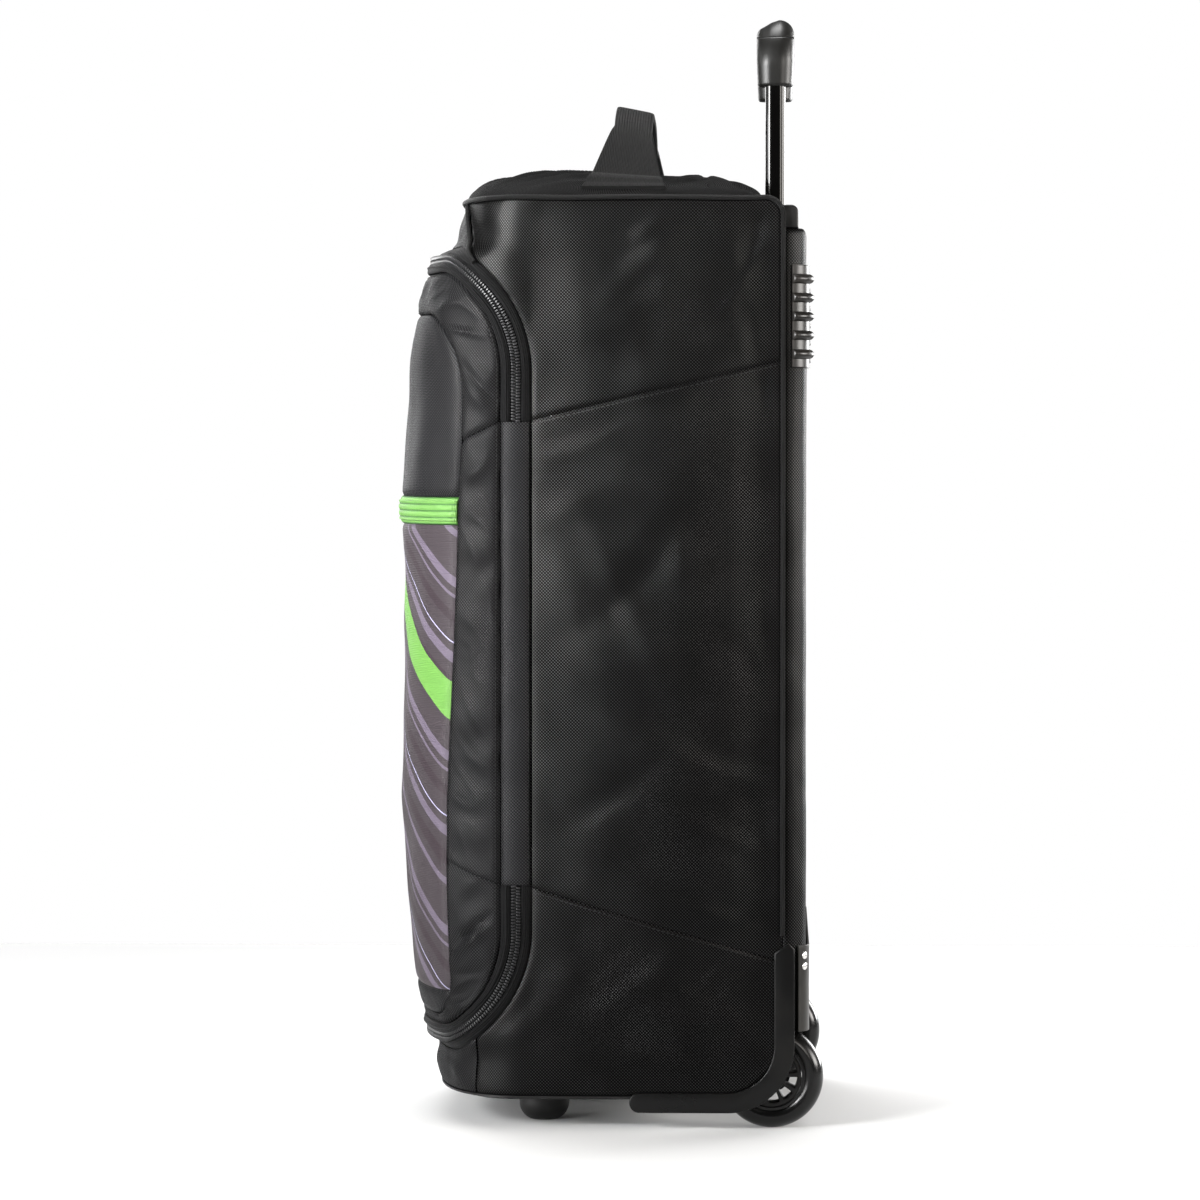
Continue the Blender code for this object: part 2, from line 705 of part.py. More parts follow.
def make_front_strips():
    """The plain front above the lid and below it, between the side panels."""
    strips = (
        ("front_top_panel", LID_TOP_Z, TOP_Z, FRONT_PIPING_TOP, 1.0),
        ("front_low_panel", LID_BOTTOM_Z, SIDE_LOW_Z, FRONT_SEAM_LOW, -1.0),
    )
    for name, end_z, edge_z, edge_forward, way in strips:
        loop = arch(HALF_LENGTH, 0.5 * (LID_TOP_Z + LID_BOTTOM_Z), end_z, LID_CORNER)
        loop = loop[2 + FOOT_STEP:-2 - FOOT_STEP]
        narrower = 1.0 - 2.0 * SEAM / loop[0][0]
        loop = [(c * narrower, z + way * SEAM) for c, z in loop]
        edge_half = HALF_LENGTH - edge_forward - SEAM
        edge = [(c * edge_half / loop[0][0], edge_z - way * 0.5 * GAP) for c, _ in loop]
        spots = ring_spots(loop, edge, np.linspace(0.0, 1.0, STRIP_ROWS))
        cloth_wall(name, spots, "bag_cloth")


# Crown, back and bottom


def crown_height(across, place):
    """Height of the crown over its edge, as a share of its rise, from -1 to 1 both ways."""
    side_fall = max(0.0, 1.0 - abs(across) ** 3.5) ** 0.5
    end_fall = max(0.0, 1.0 - abs(place) ** 4.5) ** 0.5
    dome = side_fall * end_fall
    for x, y, spread, height in CROWN_PUCKERS:
        far = ((across - x) ** 2 + (place - y) ** 2) / spread ** 2
        dome += height * math.exp(-far) * side_fall * end_fall
    return dome


def crown_spots(inset):
    """Points of the crown's surface, moved inwards by a distance, in rows from the front."""
    _, plan_x, plan_y = plan_curve(reach_at(TOP_Z))
    middle_y = 0.5 * (CROWN_REAR_Y - LID_REACH)
    narrower = 1.0 - inset / HALF_WIDTH
    shorter = 1.0 - inset / (CROWN_REAR_Y - middle_y)
    grid = []
    for back in shares(CROWN_ROWS, 0.8):
        row = []
        for across in -1.0 + 2.0 * shares(CROWN_COLUMNS, 0.8):
            x = HALF_WIDTH * across
            front_y = float(np.interp(abs(x), plan_x, plan_y))
            y = front_y + (CROWN_REAR_Y - front_y) * back
            y = middle_y + (y - middle_y) * shorter
            z = TOP_Z + GAP + (CROWN_RISE - inset) * crown_height(across, 2.0 * back - 1.0)
            row.append((x * narrower, y, z))
        grid.append(row)
    return grid


def make_crown():
    """The top cloth: a puffy dome with puckers, open behind for the handle's plate."""
    wall("top_panel", crown_spots(0.0), crown_spots(CLOTH), "bag_cloth")


def corner_outline(inset, steps=5):
    """The back seen from above: right seam, round corner, across, to the left seam."""
    radius = BACK_Y - REAR_SEAM_Y
    right = []
    for angle in np.linspace(0.0, math.pi / 2.0, steps):
        right.append((
            HALF_WIDTH - radius + (radius - inset) * math.cos(angle),
            REAR_SEAM_Y + GAP + (radius - inset) * math.sin(angle),
        ))
    right.append((0.5 * TUBE_X, BACK_Y + GAP - inset))
    return right + [(-x, y) for x, y in reversed(right)]


def make_back():
    """The back cloth, wrapped round the rear corners and rounded over at the top."""
    top = PLATE_TOP_Z - PLATE_THICKNESS - GAP
    levels = [(z, 0.0) for z in np.linspace(BACK_LOW_Z, top - BACK_TOP_ROUND, 6)]
    for angle in np.radians((30.0, 60.0, 90.0)):
        inset = 0.5 * BACK_TOP_ROUND * (1.0 - math.cos(angle))
        levels.append((top - BACK_TOP_ROUND * (1.0 - math.sin(angle)), inset))
    outer = [[Vector((x, y, z)) for x, y in corner_outline(inset)] for z, inset in levels]
    inner = [[Vector((x, y, z)) for x, y in corner_outline(inset + CLOTH)] for z, inset in levels]
    wall("back_panel", outer, inner, "bag_cloth")


def make_bottom():
    """The flat bottom, from the front edge back to the wheel tray."""
    _, plan_x, plan_y = plan_curve(reach_at(SIDE_LOW_Z))
    rear = AXLE_Y - WHEEL_RADIUS - WHEEL_ROOM
    walls = []
    for z in (FLOOR_Z, FLOOR_Z + CLOTH):
        grid = []
        for back in (0.0, 0.5, 1.0):
            row = []
            for across in -1.0 + 2.0 * shares(CROWN_COLUMNS, 0.8):
                x = HALF_WIDTH * across
                front_y = float(np.interp(abs(x), plan_x, plan_y))
                row.append(Vector((x, front_y + (rear - front_y) * back, z)))
            grid.append(row)
        walls.append(grid)
    wall("bottom_panel", walls[0], walls[1], "moulded_plastic")


# Piping and webbing


def cord(name, points, radius, material):
    """A round cord through a list of points, with closed ends."""
    curve = bpy.data.curves.new(name, "CURVE")
    curve.dimensions = "3D"
    curve.bevel_depth = radius
    curve.bevel_resolution = 0
    curve.use_fill_caps = True
    spline = curve.splines.new("POLY")
    spline.points.add(len(points) - 1)
    for spot, point in zip(spline.points, points):
        spot.co = (*point, 1.0)
    thing = bpy.data.objects.new(name, curve)
    bpy.context.scene.collection.objects.link(thing)
    curve.materials.append(bpy.data.materials.get(material) or make_material(material))
    return thing


def make_piping():
    """The cord in the edge seam: up one rear seam, round the top, down the other."""
    off = PIPING_RADIUS + GAP
    corner_y = REAR_SEAM_Y - REAR_TOP_DROP
    right = []
    for z in np.linspace(RAIL_TOP_Z + PIPING_FOOT_RISE, TOP_Z - REAR_TOP_DROP, 4):
        right.append((HALF_WIDTH + off, REAR_SEAM_Y, z))
    for angle in np.linspace(0.3, math.pi / 2.0, 4):
        y = corner_y + REAR_TOP_DROP * math.cos(angle)
        z = TOP_Z - REAR_TOP_DROP * (1.0 - math.sin(angle))
        right.append((HALF_WIDTH + off, y, z))
    for y in np.linspace(corner_y, FRONT_SEAM_Y, 3)[1:]:
        right.append((HALF_WIDTH + off, y, TOP_Z))
    for share in np.linspace(1.0, 0.0, PIPING_STEPS)[1:]:
        point, outward = front_spot(HALF_LENGTH * share, TOP_Z)
        right.append(tuple(point + outward * off))
    left = [(-x, y, z) for x, y, z in reversed(right[:-1])]
    cord("edge_piping", right + left, PIPING_RADIUS, "piping")

    top = TOP_Z - 2.0 * PIPING_RADIUS - 2.0 * GAP
    for word, side in SIDES.items():
        points = []
        for z in np.linspace(TOP_FOOT_Z, top, STRIP_ROWS):
            point, outward = front_spot(side * (HALF_LENGTH - front_limit(z)), z)
            points.append(point + outward * (off + GAP))
        cord("front_piping_" + word, points, PIPING_RADIUS, "piping")


def crown_at(x, y, grid):
    """Height of the crown's faces over a place in the plan."""
    columns = np.asarray(grid).transpose(1, 0, 2)
    heights = [float(np.interp(y, column[:, 1], column[:, 2])) for column in columns]
    return float(np.interp(x, columns[:, 0, 0], heights))


def make_top_handle():
    """Webbing from edge seam to edge seam, wide at its feet and folded at the grip."""
    reach = HALF_WIDTH - STRAP_FOOT_INSET
    crown = crown_spots(0.0)
    lines = [point[0] for point in crown[0]][1:-1]
    between = [0.5 * (first + second) for first, second in zip(lines[1:-2], lines[2:-1])]
    bm = bmesh.new()
    rings = []
    for x in sorted([-reach, reach] + lines + between):
        across = x / reach
        flare = (abs(across) - STRAP_GRIP_SHARE) / (STRAP_FLARE_SHARE - STRAP_GRIP_SHARE)
        flare = min(max(flare, 0.0), 1.0)
        width = STRAP_GRIP_WIDTH + (STRAP_FOOT_WIDTH - STRAP_GRIP_WIDTH) * flare
        middle_y = STRAP_GRIP_Y + (STRAP_FOOT_Y - STRAP_GRIP_Y) * flare
        fold = 1.0 if flare == 0.0 else 0.0
        thick = STRAP_THICKNESS + (STRAP_GRIP_THICKNESS - STRAP_THICKNESS) * fold
        top = STRAP_TOP_Z - 0.5 * STRAP_ROLL * STRAP_GRIP_WIDTH
        arch_z = TOP_Z + (top - TOP_Z) * (1.0 - abs(across) ** STRAP_ARCH)
        places = middle_y + width * np.linspace(-0.5, 0.5, 9)
        under = max(crown_at(x, y, crown) for y in places)
        z = max(arch_z, under + SEAM + thick)
        ring = []
        for dy, dn in ((-0.5, 0.0), (-0.5, -1.0), (0.0, -1.0), (0.5, -1.0), (0.5, 0.0), (0.0, 0.0)):
            roll = -STRAP_ROLL * dy * width * (1.0 - flare)
            ring.append(bm.verts.new((x, middle_y + dy * width, z + roll + dn * thick)))
        rings.append(ring)
    for first, second in zip(rings, rings[1:]):
        for k in range(6):
            n = (k + 1) % 6
            bm.faces.new((first[k], first[n], second[n], second[k]))
    bm.faces.new(rings[0])
    bm.faces.new(rings[-1])
    finish_bmesh("top_handle", bm, "webbing")


# Telescopic handle


def rounded_outline(size_x, size_y, corner, steps=3):
    """A rectangle with round corners about the origin."""
    points = []
    for sx, sy, start in ((1, 1, 0.0), (-1, 1, 90.0), (-1, -1, 180.0), (1, -1, 270.0)):
        for angle in np.linspace(start, start + 90.0, steps):
            points.append((
                sx * (0.5 * size_x - corner) + corner * math.cos(math.radians(angle)),
                sy * (0.5 * size_y - corner) + corner * math.sin(math.radians(angle)),
            ))
    return points


def ring_solid(bm, outer, inner, low, high):
    """A wall between two outlines, from one height to another."""
    loops = []
    for outline in (outer, inner):
        loops.append([
            [bm.verts.new((x, y, z)) for x, y in outline] for z in (low, high)
        ])
    count = len(outer)
    for k in range(count):
        n = (k + 1) % count
        (out_low, out_high), (in_low, in_high) = loops
        bm.faces.new((out_low[k], out_low[n], out_high[n], out_high[k]))
        bm.faces.new((in_low[n], in_low[k], in_high[k], in_high[n]))
        bm.faces.new((out_high[k], out_high[n], in_high[n], in_high[k]))
        bm.faces.new((out_low[n], out_low[k], in_low[k], in_low[n]))


def shifted(outline, x, y):
    """An outline moved in the plan."""
    return [(px + x, py + y) for px, py in outline]


def make_tubes():
    """Outer tubes fixed in the bag and inner tubes that slide in them."""
    tray_top = wheel_room_top() + TRAY_WALL
    bore_x = TUBE_WIDE + 2.0 * TUBE_SLIDE_CLEARANCE
    bore_y = TUBE_DEEP + 2.0 * TUBE_SLIDE_CLEARANCE
    for word, side in SIDES.items():
        bm = bmesh.new()
        ring_solid(
            bm,
            shifted(rounded_outline(bore_x + 2 * TUBE_WALL, bore_y + 2 * TUBE_WALL,
                                    TUBE_CORNER + TUBE_WALL), side * TUBE_X, TUBE_Y),
            shifted(rounded_outline(bore_x, bore_y, TUBE_CORNER), side * TUBE_X, TUBE_Y),
            tray_top + GAP,
            PLATE_TOP_Z - PLATE_THICKNESS - GAP,
        )
        finish_bmesh("outer_tube_" + word, bm, "anodised_tube")
        bm = bmesh.new()
        ring_solid(
            bm,
            shifted(rounded_outline(TUBE_WIDE, TUBE_DEEP, TUBE_CORNER), side * TUBE_X, TUBE_Y),
            shifted(rounded_outline(TUBE_WIDE - 2 * TUBE_WALL, TUBE_DEEP - 2 * TUBE_WALL,
                                    TUBE_CORNER - TUBE_WALL), side * TUBE_X, TUBE_Y),
            INNER_TUBE_LOW_Z,
            GRIP_FOOT_Z + SOCKET_DEPTH - GAP,
        )
        finish_bmesh("inner_tube_" + word, bm, "anodised_tube")


def wheel_room_top():
    """Underside of the tray over the wheels."""
    return 2.0 * WHEEL_RADIUS + WHEEL_ROOM


def prism(name, outline, low, high):
    """A guide block with an upright outline, which cuts a hole and isn't kept."""
    bm = bmesh.new()
    bottom = [bm.verts.new((x, y, low)) for x, y in outline]
    top = [bm.verts.new((x, y, high)) for x, y in outline]
    for k in range(len(outline)):
        n = (k + 1) % len(outline)
        bm.faces.new((bottom[k], bottom[n], top[n], top[k]))
    bm.faces.new(bottom)
    bm.faces.new(top)
    return finish_bmesh(name, bm, "moulded_plastic")


def box(name, low, high, bevel=0.0):
    """A plastic box between two corners, with its edges rounded by a Bevel modifier."""
    bm = bmesh.new()
    bmesh.ops.create_cube(bm, size=1.0)
    bmesh.ops.scale(bm, vec=high - low, verts=bm.verts)
    bmesh.ops.translate(bm, vec=0.5 * (low + high), verts=bm.verts)
    thing = finish_bmesh(name, bm, "moulded_plastic")
    if bevel > 0.0:
        edge = thing.modifiers.new("edge", "BEVEL")
        edge.width = bevel
        edge.segments = 2
        edge.limit_method = "ANGLE"
    return thing


def subtract(thing, cutter):
    """Cut one object by another, which stays in the scene as a guide."""
    cut = thing.modifiers.new("cut", "BOOLEAN")
    cut.operation = "DIFFERENCE"
    cut.object = cutter
    cutter.hide_render = True
    cutter.display_type = "WIRE"


def make_grip():
    """The grip: an arch over both tubes, with a socket for each and a button on top."""
    crest = GRIP_TOP_Z - 0.5 * GRIP_THICK
    path = [(TUBE_X, GRIP_FOOT_Z, math.pi / 2.0)]
    for angle in np.linspace(0.0, math.pi / 2.0, 5):
        x = TUBE_X - GRIP_BEND * (1.0 - math.cos(angle))
        z = crest - GRIP_BEND * (1.0 - math.sin(angle))
        path.append((x, z, math.pi / 2.0 + angle))
    path += [(-x, z, math.pi * 1.5 - (turn - math.pi / 2.0)) for x, z, turn in reversed(path)]
    outline = rounded_outline(GRIP_THICK, GRIP_DEEP, GRIP_CORNER)
    bm = bmesh.new()
    rings = []
    for x, z, turn in path:
        run = Vector((math.cos(turn), 0.0, math.sin(turn)))
        side = Vector((run.z, 0.0, -run.x))
        ring = []
        for px, py in outline:
            level = abs(run.x)
            over = max(px, 0.0) / (0.5 * GRIP_THICK)
            ahead = max(-py, 0.0) / (0.5 * GRIP_DEEP)
            drop = GRIP_SLANT * level * over * ahead
            spot = Vector((x, TUBE_Y, z)) + side * (px - drop) + Vector((0.0, py, 0.0))
            ring.append(bm.verts.new(spot))
        rings.append(ring)
    count = len(outline)
    for first, second in zip(rings, rings[1:]):
        for k in range(count):
            n = (k + 1) % count
            bm.faces.new((first[k], first[n], second[n], second[k]))
    bm.faces.new(rings[0])
    bm.faces.new(rings[-1])
    grip = finish_bmesh("handle_grip", bm, "moulded_plastic")
    for word, side in SIDES.items():
        room = 2.0 * GAP
        socket = shifted(
            rounded_outline(TUBE_WIDE + room, TUBE_DEEP + room, TUBE_CORNER + GAP),
            side * TUBE_X, TUBE_Y,
        )
        low = GRIP_FOOT_Z - SOCKET_DEPTH
        cutter = prism("socket_cutter_" + word, socket, low, GRIP_FOOT_Z + SOCKET_DEPTH)
        subtract(grip, cutter)
    half = Vector((0.5 * BUTTON_LENGTH, 0.5 * BUTTON_WIDTH, 0.0))
    middle = Vector((0.0, TUBE_Y + BUTTON_SETBACK, GRIP_TOP_Z))
    room = Vector((GAP, GAP, 0.0))
    floor = Vector((0.0, 0.0, BUTTON_DEPTH))
    pocket = box("button_cutter", middle - half - room - floor, middle + half + room + floor)
    subtract(grip, pocket)
    low = middle - half - floor + Vector((0.0, 0.0, GAP))
    high = middle + half - Vector((0.0, 0.0, BUTTON_SINK))
    box("release_button", low, high, BUTTON_EDGE)


def make_handle_plate():
    """The moulded plate that the tubes come out of, with a kerb under the crown's edge."""
    reach = HALF_WIDTH - CLOTH - GAP
    low = PLATE_TOP_Z - PLATE_THICKNESS
    kerb = CROWN_REAR_Y - GAP
    outline = [(PLATE_FRONT_Y, low), (PLATE_REAR_Y, low)]
    for angle in np.linspace(0.0, 0.5 * math.pi, 4):
        y = PLATE_REAR_Y - PLATE_ROUND * (1.0 - math.cos(angle))
        outline.append((y, PLATE_TOP_Z - PLATE_ROUND * (1.0 - math.sin(angle))))
    outline += [(kerb, PLATE_TOP_Z), (kerb, TOP_Z), (PLATE_FRONT_Y, TOP_Z)]
    plate = extrude_x("handle_plate", outline, -reach, reach, "moulded_plastic")
    for word, side in SIDES.items():
        room = 2.0 * TUBE_SLIDE_CLEARANCE
        hole = shifted(
            rounded_outline(TUBE_WIDE + room, TUBE_DEEP + room, TUBE_CORNER),
            side * TUBE_X, TUBE_Y,
        )
        cutter = prism("plate_cutter_" + word, hole, low - PLATE_THICKNESS, TOP_Z)
        subtract(plate, cutter)


# Wheels and base


def turned(name, profile, sides, centre, material, bore=False):
    """A profile of radius and height turned about an axis along X."""
    bm = bmesh.new()
    rings = []
    for k in range(sides):
        angle = 2.0 * math.pi * k / sides
        rings.append([
            bm.verts.new((centre[0] + x, centre[1] + r * math.cos(angle),
                          centre[2] + r * math.sin(angle)))
            for r, x in profile
        ])
    count = len(profile)
    last = count if bore else count - 1
    for k in range(sides):
        first, second = rings[k], rings[(k + 1) % sides]
        for i in range(last):
            n = (i + 1) % count
            bm.faces.new((first[i], first[n], second[n], second[i]))
    if not bore:
        bm.faces.new([ring[0] for ring in rings])
        bm.faces.new([ring[-1] for ring in rings])
    return finish_bmesh(name, bm, material)


def make_wheels():
    """Two in-line skate wheels: a tyre, a windowed hub, and an axle bolt for each."""
    half = 0.5 * WHEEL_WIDTH
    for word, side in SIDES.items():
        centre = (side * WHEEL_X, AXLE_Y, WHEEL_RADIUS)
        tyre = [(TYRE_BORE, -TYRE_BEAD * half)]
        for angle in np.linspace(-TYRE_SHOULDER, TYRE_SHOULDER, TYRE_ROWS):
            radius = WHEEL_RADIUS - half * (1.0 - math.cos(angle))
            tyre.append((radius, half * math.sin(angle) / math.sin(TYRE_SHOULDER)))
        tyre.append((TYRE_BORE, TYRE_BEAD * half))
        turned("wheel_tyre_" + word, tyre, WHEEL_SIDES, centre, "tyre_rubber", True)
        make_hub("wheel_hub_" + word, centre)
        bracket_x = WHEEL_X - half - BRACKET_GAP - TRAY_WALL
        start = bracket_x - WHEEL_X - AXLE_HEAD_HEIGHT - GAP
        bolt = [
            (AXLE_HEAD_RADIUS, start),
            (AXLE_HEAD_RADIUS, start + AXLE_HEAD_HEIGHT),
            (AXLE_RADIUS, start + AXLE_HEAD_HEIGHT),
            (AXLE_RADIUS, axle_socket_x() - WHEEL_X - GAP),
        ]
        bolt = [(r, side * x) for r, x in bolt]
        turned("axle_bolt_" + word, bolt, BOLT_SIDES, centre, "bright_steel")


def make_hub(name, centre):
    """A flat wheel with windows between its spokes, thickened to the hub's width."""
    radii = (AXLE_RADIUS + GAP, HUB_BOSS, HUB_RING, TYRE_BORE - GAP)
    angles = []
    pitch = 2.0 * math.pi / HUB_WINDOWS
    for k in range(HUB_WINDOWS):
        angles += [k * pitch, k * pitch + SPOKE_SHARE * pitch]
    bm = bmesh.new()
    rings = [
        [bm.verts.new((0.0, r * math.cos(a), r * math.sin(a))) for a in angles] for r in radii
    ]
    count = len(angles)
    for level in range(3):
        for k in range(count):
            if level == 1 and k % 2 != 0:
                continue
            n = (k + 1) % count
            bm.faces.new((rings[level][k], rings[level][n], rings[level + 1][n], rings[level + 1][k]))
    bmesh.ops.translate(bm, vec=Vector(centre), verts=bm.verts)
    hub = finish_bmesh(name, bm, "wheel_hub")
    width = hub.modifiers.new("width", "SOLIDIFY")
    width.thickness = HUB_WIDTH
    width.offset = 0.0


def extrude_x(name, outline, low, high, material):
    """A closed outline of y and z, given from one x to another."""
    bm = bmesh.new()
    first = [bm.verts.new((low, y, z)) for y, z in outline]
    second = [bm.verts.new((high, y, z)) for y, z in outline]
    for k in range(len(outline)):
        n = (k + 1) % len(outline)
        bm.faces.new((first[k], first[n], second[n], second[k]))
    bm.faces.new(first)
    bm.faces.new(second)
    return finish_bmesh(name, bm, material)


def make_base():
    """The step over the wheels, the wheel brackets, rails, kick plate and feet."""
    front = AXLE_Y - WHEEL_RADIUS - WHEEL_ROOM + GAP
    roof = wheel_room_top()
    reach = HALF_WIDTH - CLOTH - GAP
    corner = BACK_Y - REAR_SEAM_Y
    round_x = HALF_WIDTH - corner
    under = []
    over = []
    size = corner - CLOTH - GAP
    for x in round_x + (reach - round_x) * np.array([0.0, 0.45, 0.8, 1.0]):
        rear = REAR_SEAM_Y + math.sqrt(max(size ** 2 - (x - round_x) ** 2, 0.0))
        under.append([(x, front + TRAY_WALL, FLOOR_Z), (x, front + TRAY_WALL, roof), (x, rear, roof)])
        over.append([(x, front, FLOOR_Z), (x, front, roof + TRAY_WALL), (x, rear, roof + TRAY_WALL)])
    wall("wheel_tray", mirrored_rows(over), mirrored_rows(under), "moulded_plastic")

    for word, side in SIDES.items():
        inner = WHEEL_X - 0.5 * WHEEL_WIDTH - BRACKET_GAP
        xs = sorted((side * inner, side * (inner - TRAY_WALL)))
        bracket = extrude_x("wheel_bracket_" + word, bracket_outline(roof), *xs, "painted_steel")
        subtract(bracket, axle_cutter("bracket_cutter_" + word, side, WHEEL_RADIUS))
        low = HALF_WIDTH + GAP
        xs = sorted((side * low, side * (low + RAIL_THICKNESS)))
        rail = extrude_x("base_rail_" + word, rail_outline(), *xs, "painted_steel")
        socket_reach = axle_socket_x() - WHEEL_X
        subtract(rail, axle_cutter("rail_cutter_" + word, side, socket_reach))
        make_foot("foot_" + word, side)


def mirrored_rows(rows):
    """Rows of points on the right, with their mirror images before them."""
    left = [[(-x, y, z) for x, y, z in row] for row in reversed(rows)]
    return left + rows


def make_foot(name, side):
    """A dome foot with a small flat where it stands."""
    top = FLOOR_Z - GAP
    profile = []
    for angle in np.linspace(0.0, math.pi / 2.0, 4):
        radius = FOOT_FLAT + (FOOT_RADIUS - FOOT_FLAT) * math.sin(angle)
        profile.append((radius, top * FOOT_DOME_SHARE * (1.0 - math.cos(angle))))
    profile.append((FOOT_RADIUS, top))
    bm = bmesh.new()
    rings = []
    for radius, z in profile:
        rings.append([
            bm.verts.new((
                side * FOOT_X + radius * math.cos(2.0 * math.pi * k / FOOT_SIDES),
                FOOT_Y + radius * math.sin(2.0 * math.pi * k / FOOT_SIDES), z,
            ))
            for k in range(FOOT_SIDES)
        ])
    for first, second in zip(rings, rings[1:]):
        for k in range(FOOT_SIDES):
            n = (k + 1) % FOOT_SIDES
            bm.faces.new((first[k], first[n], second[n], second[k]))
    bm.faces.new(rings[0])
    bm.faces.new(rings[-1])
    finish_bmesh(name, bm, "moulded_plastic")


def bracket_outline(roof):
    """A hanger from the tray's roof with a round end about the axle."""
    half = 0.5 * BRACKET_WIDTH
    points = [(AXLE_Y + half, roof - GAP), (AXLE_Y - half, roof - GAP)]
    for angle in np.linspace(math.pi, 2.0 * math.pi, 7):
        points.append((AXLE_Y + half * math.cos(angle), WHEEL_RADIUS + half * math.sin(angle)))
    return points


def rail_outline():
    """The rail seen from the side: down the rear edge, round the bend, and forward."""
    bend_y = RAIL_REAR_Y - RAIL_OUTER_BEND
    bend_z = RAIL_LOW_Z + RAIL_OUTER_BEND
    inner_bend = RAIL_OUTER_BEND - RAIL_WIDTH
    end = 0.5 * RAIL_WIDTH
    points = [
        (RAIL_REAR_Y, RAIL_TOP_Z - RAIL_CHAMFER),
        (RAIL_REAR_Y - RAIL_CHAMFER, RAIL_TOP_Z),
        (RAIL_REAR_Y - RAIL_WIDTH, RAIL_TOP_Z - RAIL_TOP_SLANT),
    ]
    for angle in np.linspace(0.0, -math.pi / 2.0, 9):
        points.append((bend_y + inner_bend * math.cos(angle), bend_z + inner_bend * math.sin(angle)))
    for angle in np.linspace(math.pi / 2.0, 1.5 * math.pi, 7):
        y = RAIL_FRONT_Y + end + end * math.cos(angle)
        points.append((y, RAIL_LOW_Z + end + end * math.sin(angle)))
    for angle in np.linspace(-math.pi / 2.0, 0.0, 11):
        y = bend_y + RAIL_OUTER_BEND * math.cos(angle)
        points.append((y, bend_z + RAIL_OUTER_BEND * math.sin(angle)))
    return points


def axle_socket_x():
    """Where the axle's blind hole in a rail ends: its depth in from the rail's inner face."""
    return HALF_WIDTH + GAP + AXLE_SOCKET_DEPTH


def axle_cutter(name, side, reach):
    """The round hole for an axle bolt in a plate that holds it, as far out as the reach."""
    radius = AXLE_RADIUS + GAP
    profile = [(radius, -side * WHEEL_RADIUS), (radius, side * reach)]
    return turned(name, profile, BOLT_SIDES, (side * WHEEL_X, AXLE_Y, WHEEL_RADIUS), "bright_steel")


def make_skids():
    """Ribbed skids round the rear corners, near the top of the back."""
    radius = BACK_Y - REAR_SEAM_Y + 2.0 * GAP
    pitch = SKID_HEIGHT / (SKID_RIBS + 0.5)
    turns = np.radians(np.linspace(SKID_START_DEG, SKID_END_DEG, 4))
    for word, side in SIDES.items():
        centre = Vector((side * (HALF_WIDTH - BACK_Y + REAR_SEAM_Y), REAR_SEAM_Y + GAP, 0.0))
        outer = []
        inner = []
        for rise in np.linspace(0.0, SKID_HEIGHT, 3 * SKID_RIBS + 2):
            wave = math.cos(2.0 * math.pi * (rise - 0.75 * pitch) / pitch)
            depth = SKID_BASE + SKID_RIB * max(0.0, wave) ** 0.5
            spot = centre + Vector((0.0, 0.0, SKID_LOW_Z + rise))
            ways = [Vector((side * math.cos(turn), math.sin(turn), 0.0)) for turn in turns]
            inner.append([spot + way * radius for way in ways])
            outer.append([spot + way * (radius + depth) for way in ways])
        wall("corner_skid_" + word, outer, inner, "moulded_plastic")


def make_kick_plate():
    """The plate over the lower back, held to each rail's corner by two rivets."""
    grids = []
    for thickness in (KICK_PLATE_THICKNESS, 0.0):
        outline = corner_outline(-2.0 * GAP - thickness, 6)[2:-2]
        grids.append([[Vector((x, y + GAP, z)) for x, y in outline]
                      for z in (BACK_LOW_Z, KICK_PLATE_TOP_Z)])
    wall("kick_plate", grids[0], grids[1], "painted_steel")

    radius = BACK_Y - REAR_SEAM_Y + 2.0 * GAP + KICK_PLATE_THICKNESS
    for word, side in SIDES.items():
        for number in range(2):
            z = RIVET_TOP_Z - number * RIVET_SPACING
            make_rivet("rivet_%s_%d" % (word, number + 1), side, z, radius)


def make_rivet(name, side, z, radius):
    """A low dome on the kick plate, standing on the round of the rear corner."""
    bm = bmesh.new()
    rings = []
    for size, rise in ((1.0, 0.0), (0.9, 0.5), (0.5, 0.95)):
        rings.append([
            bm.verts.new((
                RIVET_RADIUS * size * math.cos(2.0 * math.pi * k / BOLT_SIDES),
                RIVET_RADIUS * size * math.sin(2.0 * math.pi * k / BOLT_SIDES),
                RIVET_HEIGHT * rise,
            ))
            for k in range(BOLT_SIDES)
        ])
    for first, second in zip(rings, rings[1:]):
        for k in range(BOLT_SIDES):
            n = (k + 1) % BOLT_SIDES
            bm.faces.new((first[k], first[n], second[n], second[k]))
    bm.faces.new(rings[0])
    bm.faces.new(rings[-1])
    angle = math.radians(RIVET_TURN_DEG)
    out = Vector((side * math.cos(angle), math.sin(angle), 0.0))
    up = Vector((0.0, 0.0, 1.0))
    turn = Matrix((out.cross(up), up, out)).transposed().to_4x4()
    centre = Vector((side * (HALF_WIDTH - (BACK_Y - REAR_SEAM_Y)), REAR_SEAM_Y + GAP, z))
    place = Matrix.Translation(centre + out * (radius + GAP))
    bmesh.ops.transform(bm, matrix=place @ turn, verts=bm.verts)
    finish_bmesh(name, bm, "bright_steel")


def build():
    """Clear the scene and make every piece."""
    for thing in list(bpy.data.objects):
        bpy.data.objects.remove(thing, do_unlink=True)
    make_side_panels()
    make_front_strips()
    make_zip_bands()
    make_lid_gusset()
    make_lid_panels()
    make_crown()
    make_back()
    make_bottom()
    make_piping()
    make_top_handle()
    make_tubes()
    make_grip()
    make_handle_plate()
    make_wheels()
    make_base()
    make_skids()
    make_kick_plate()


build()
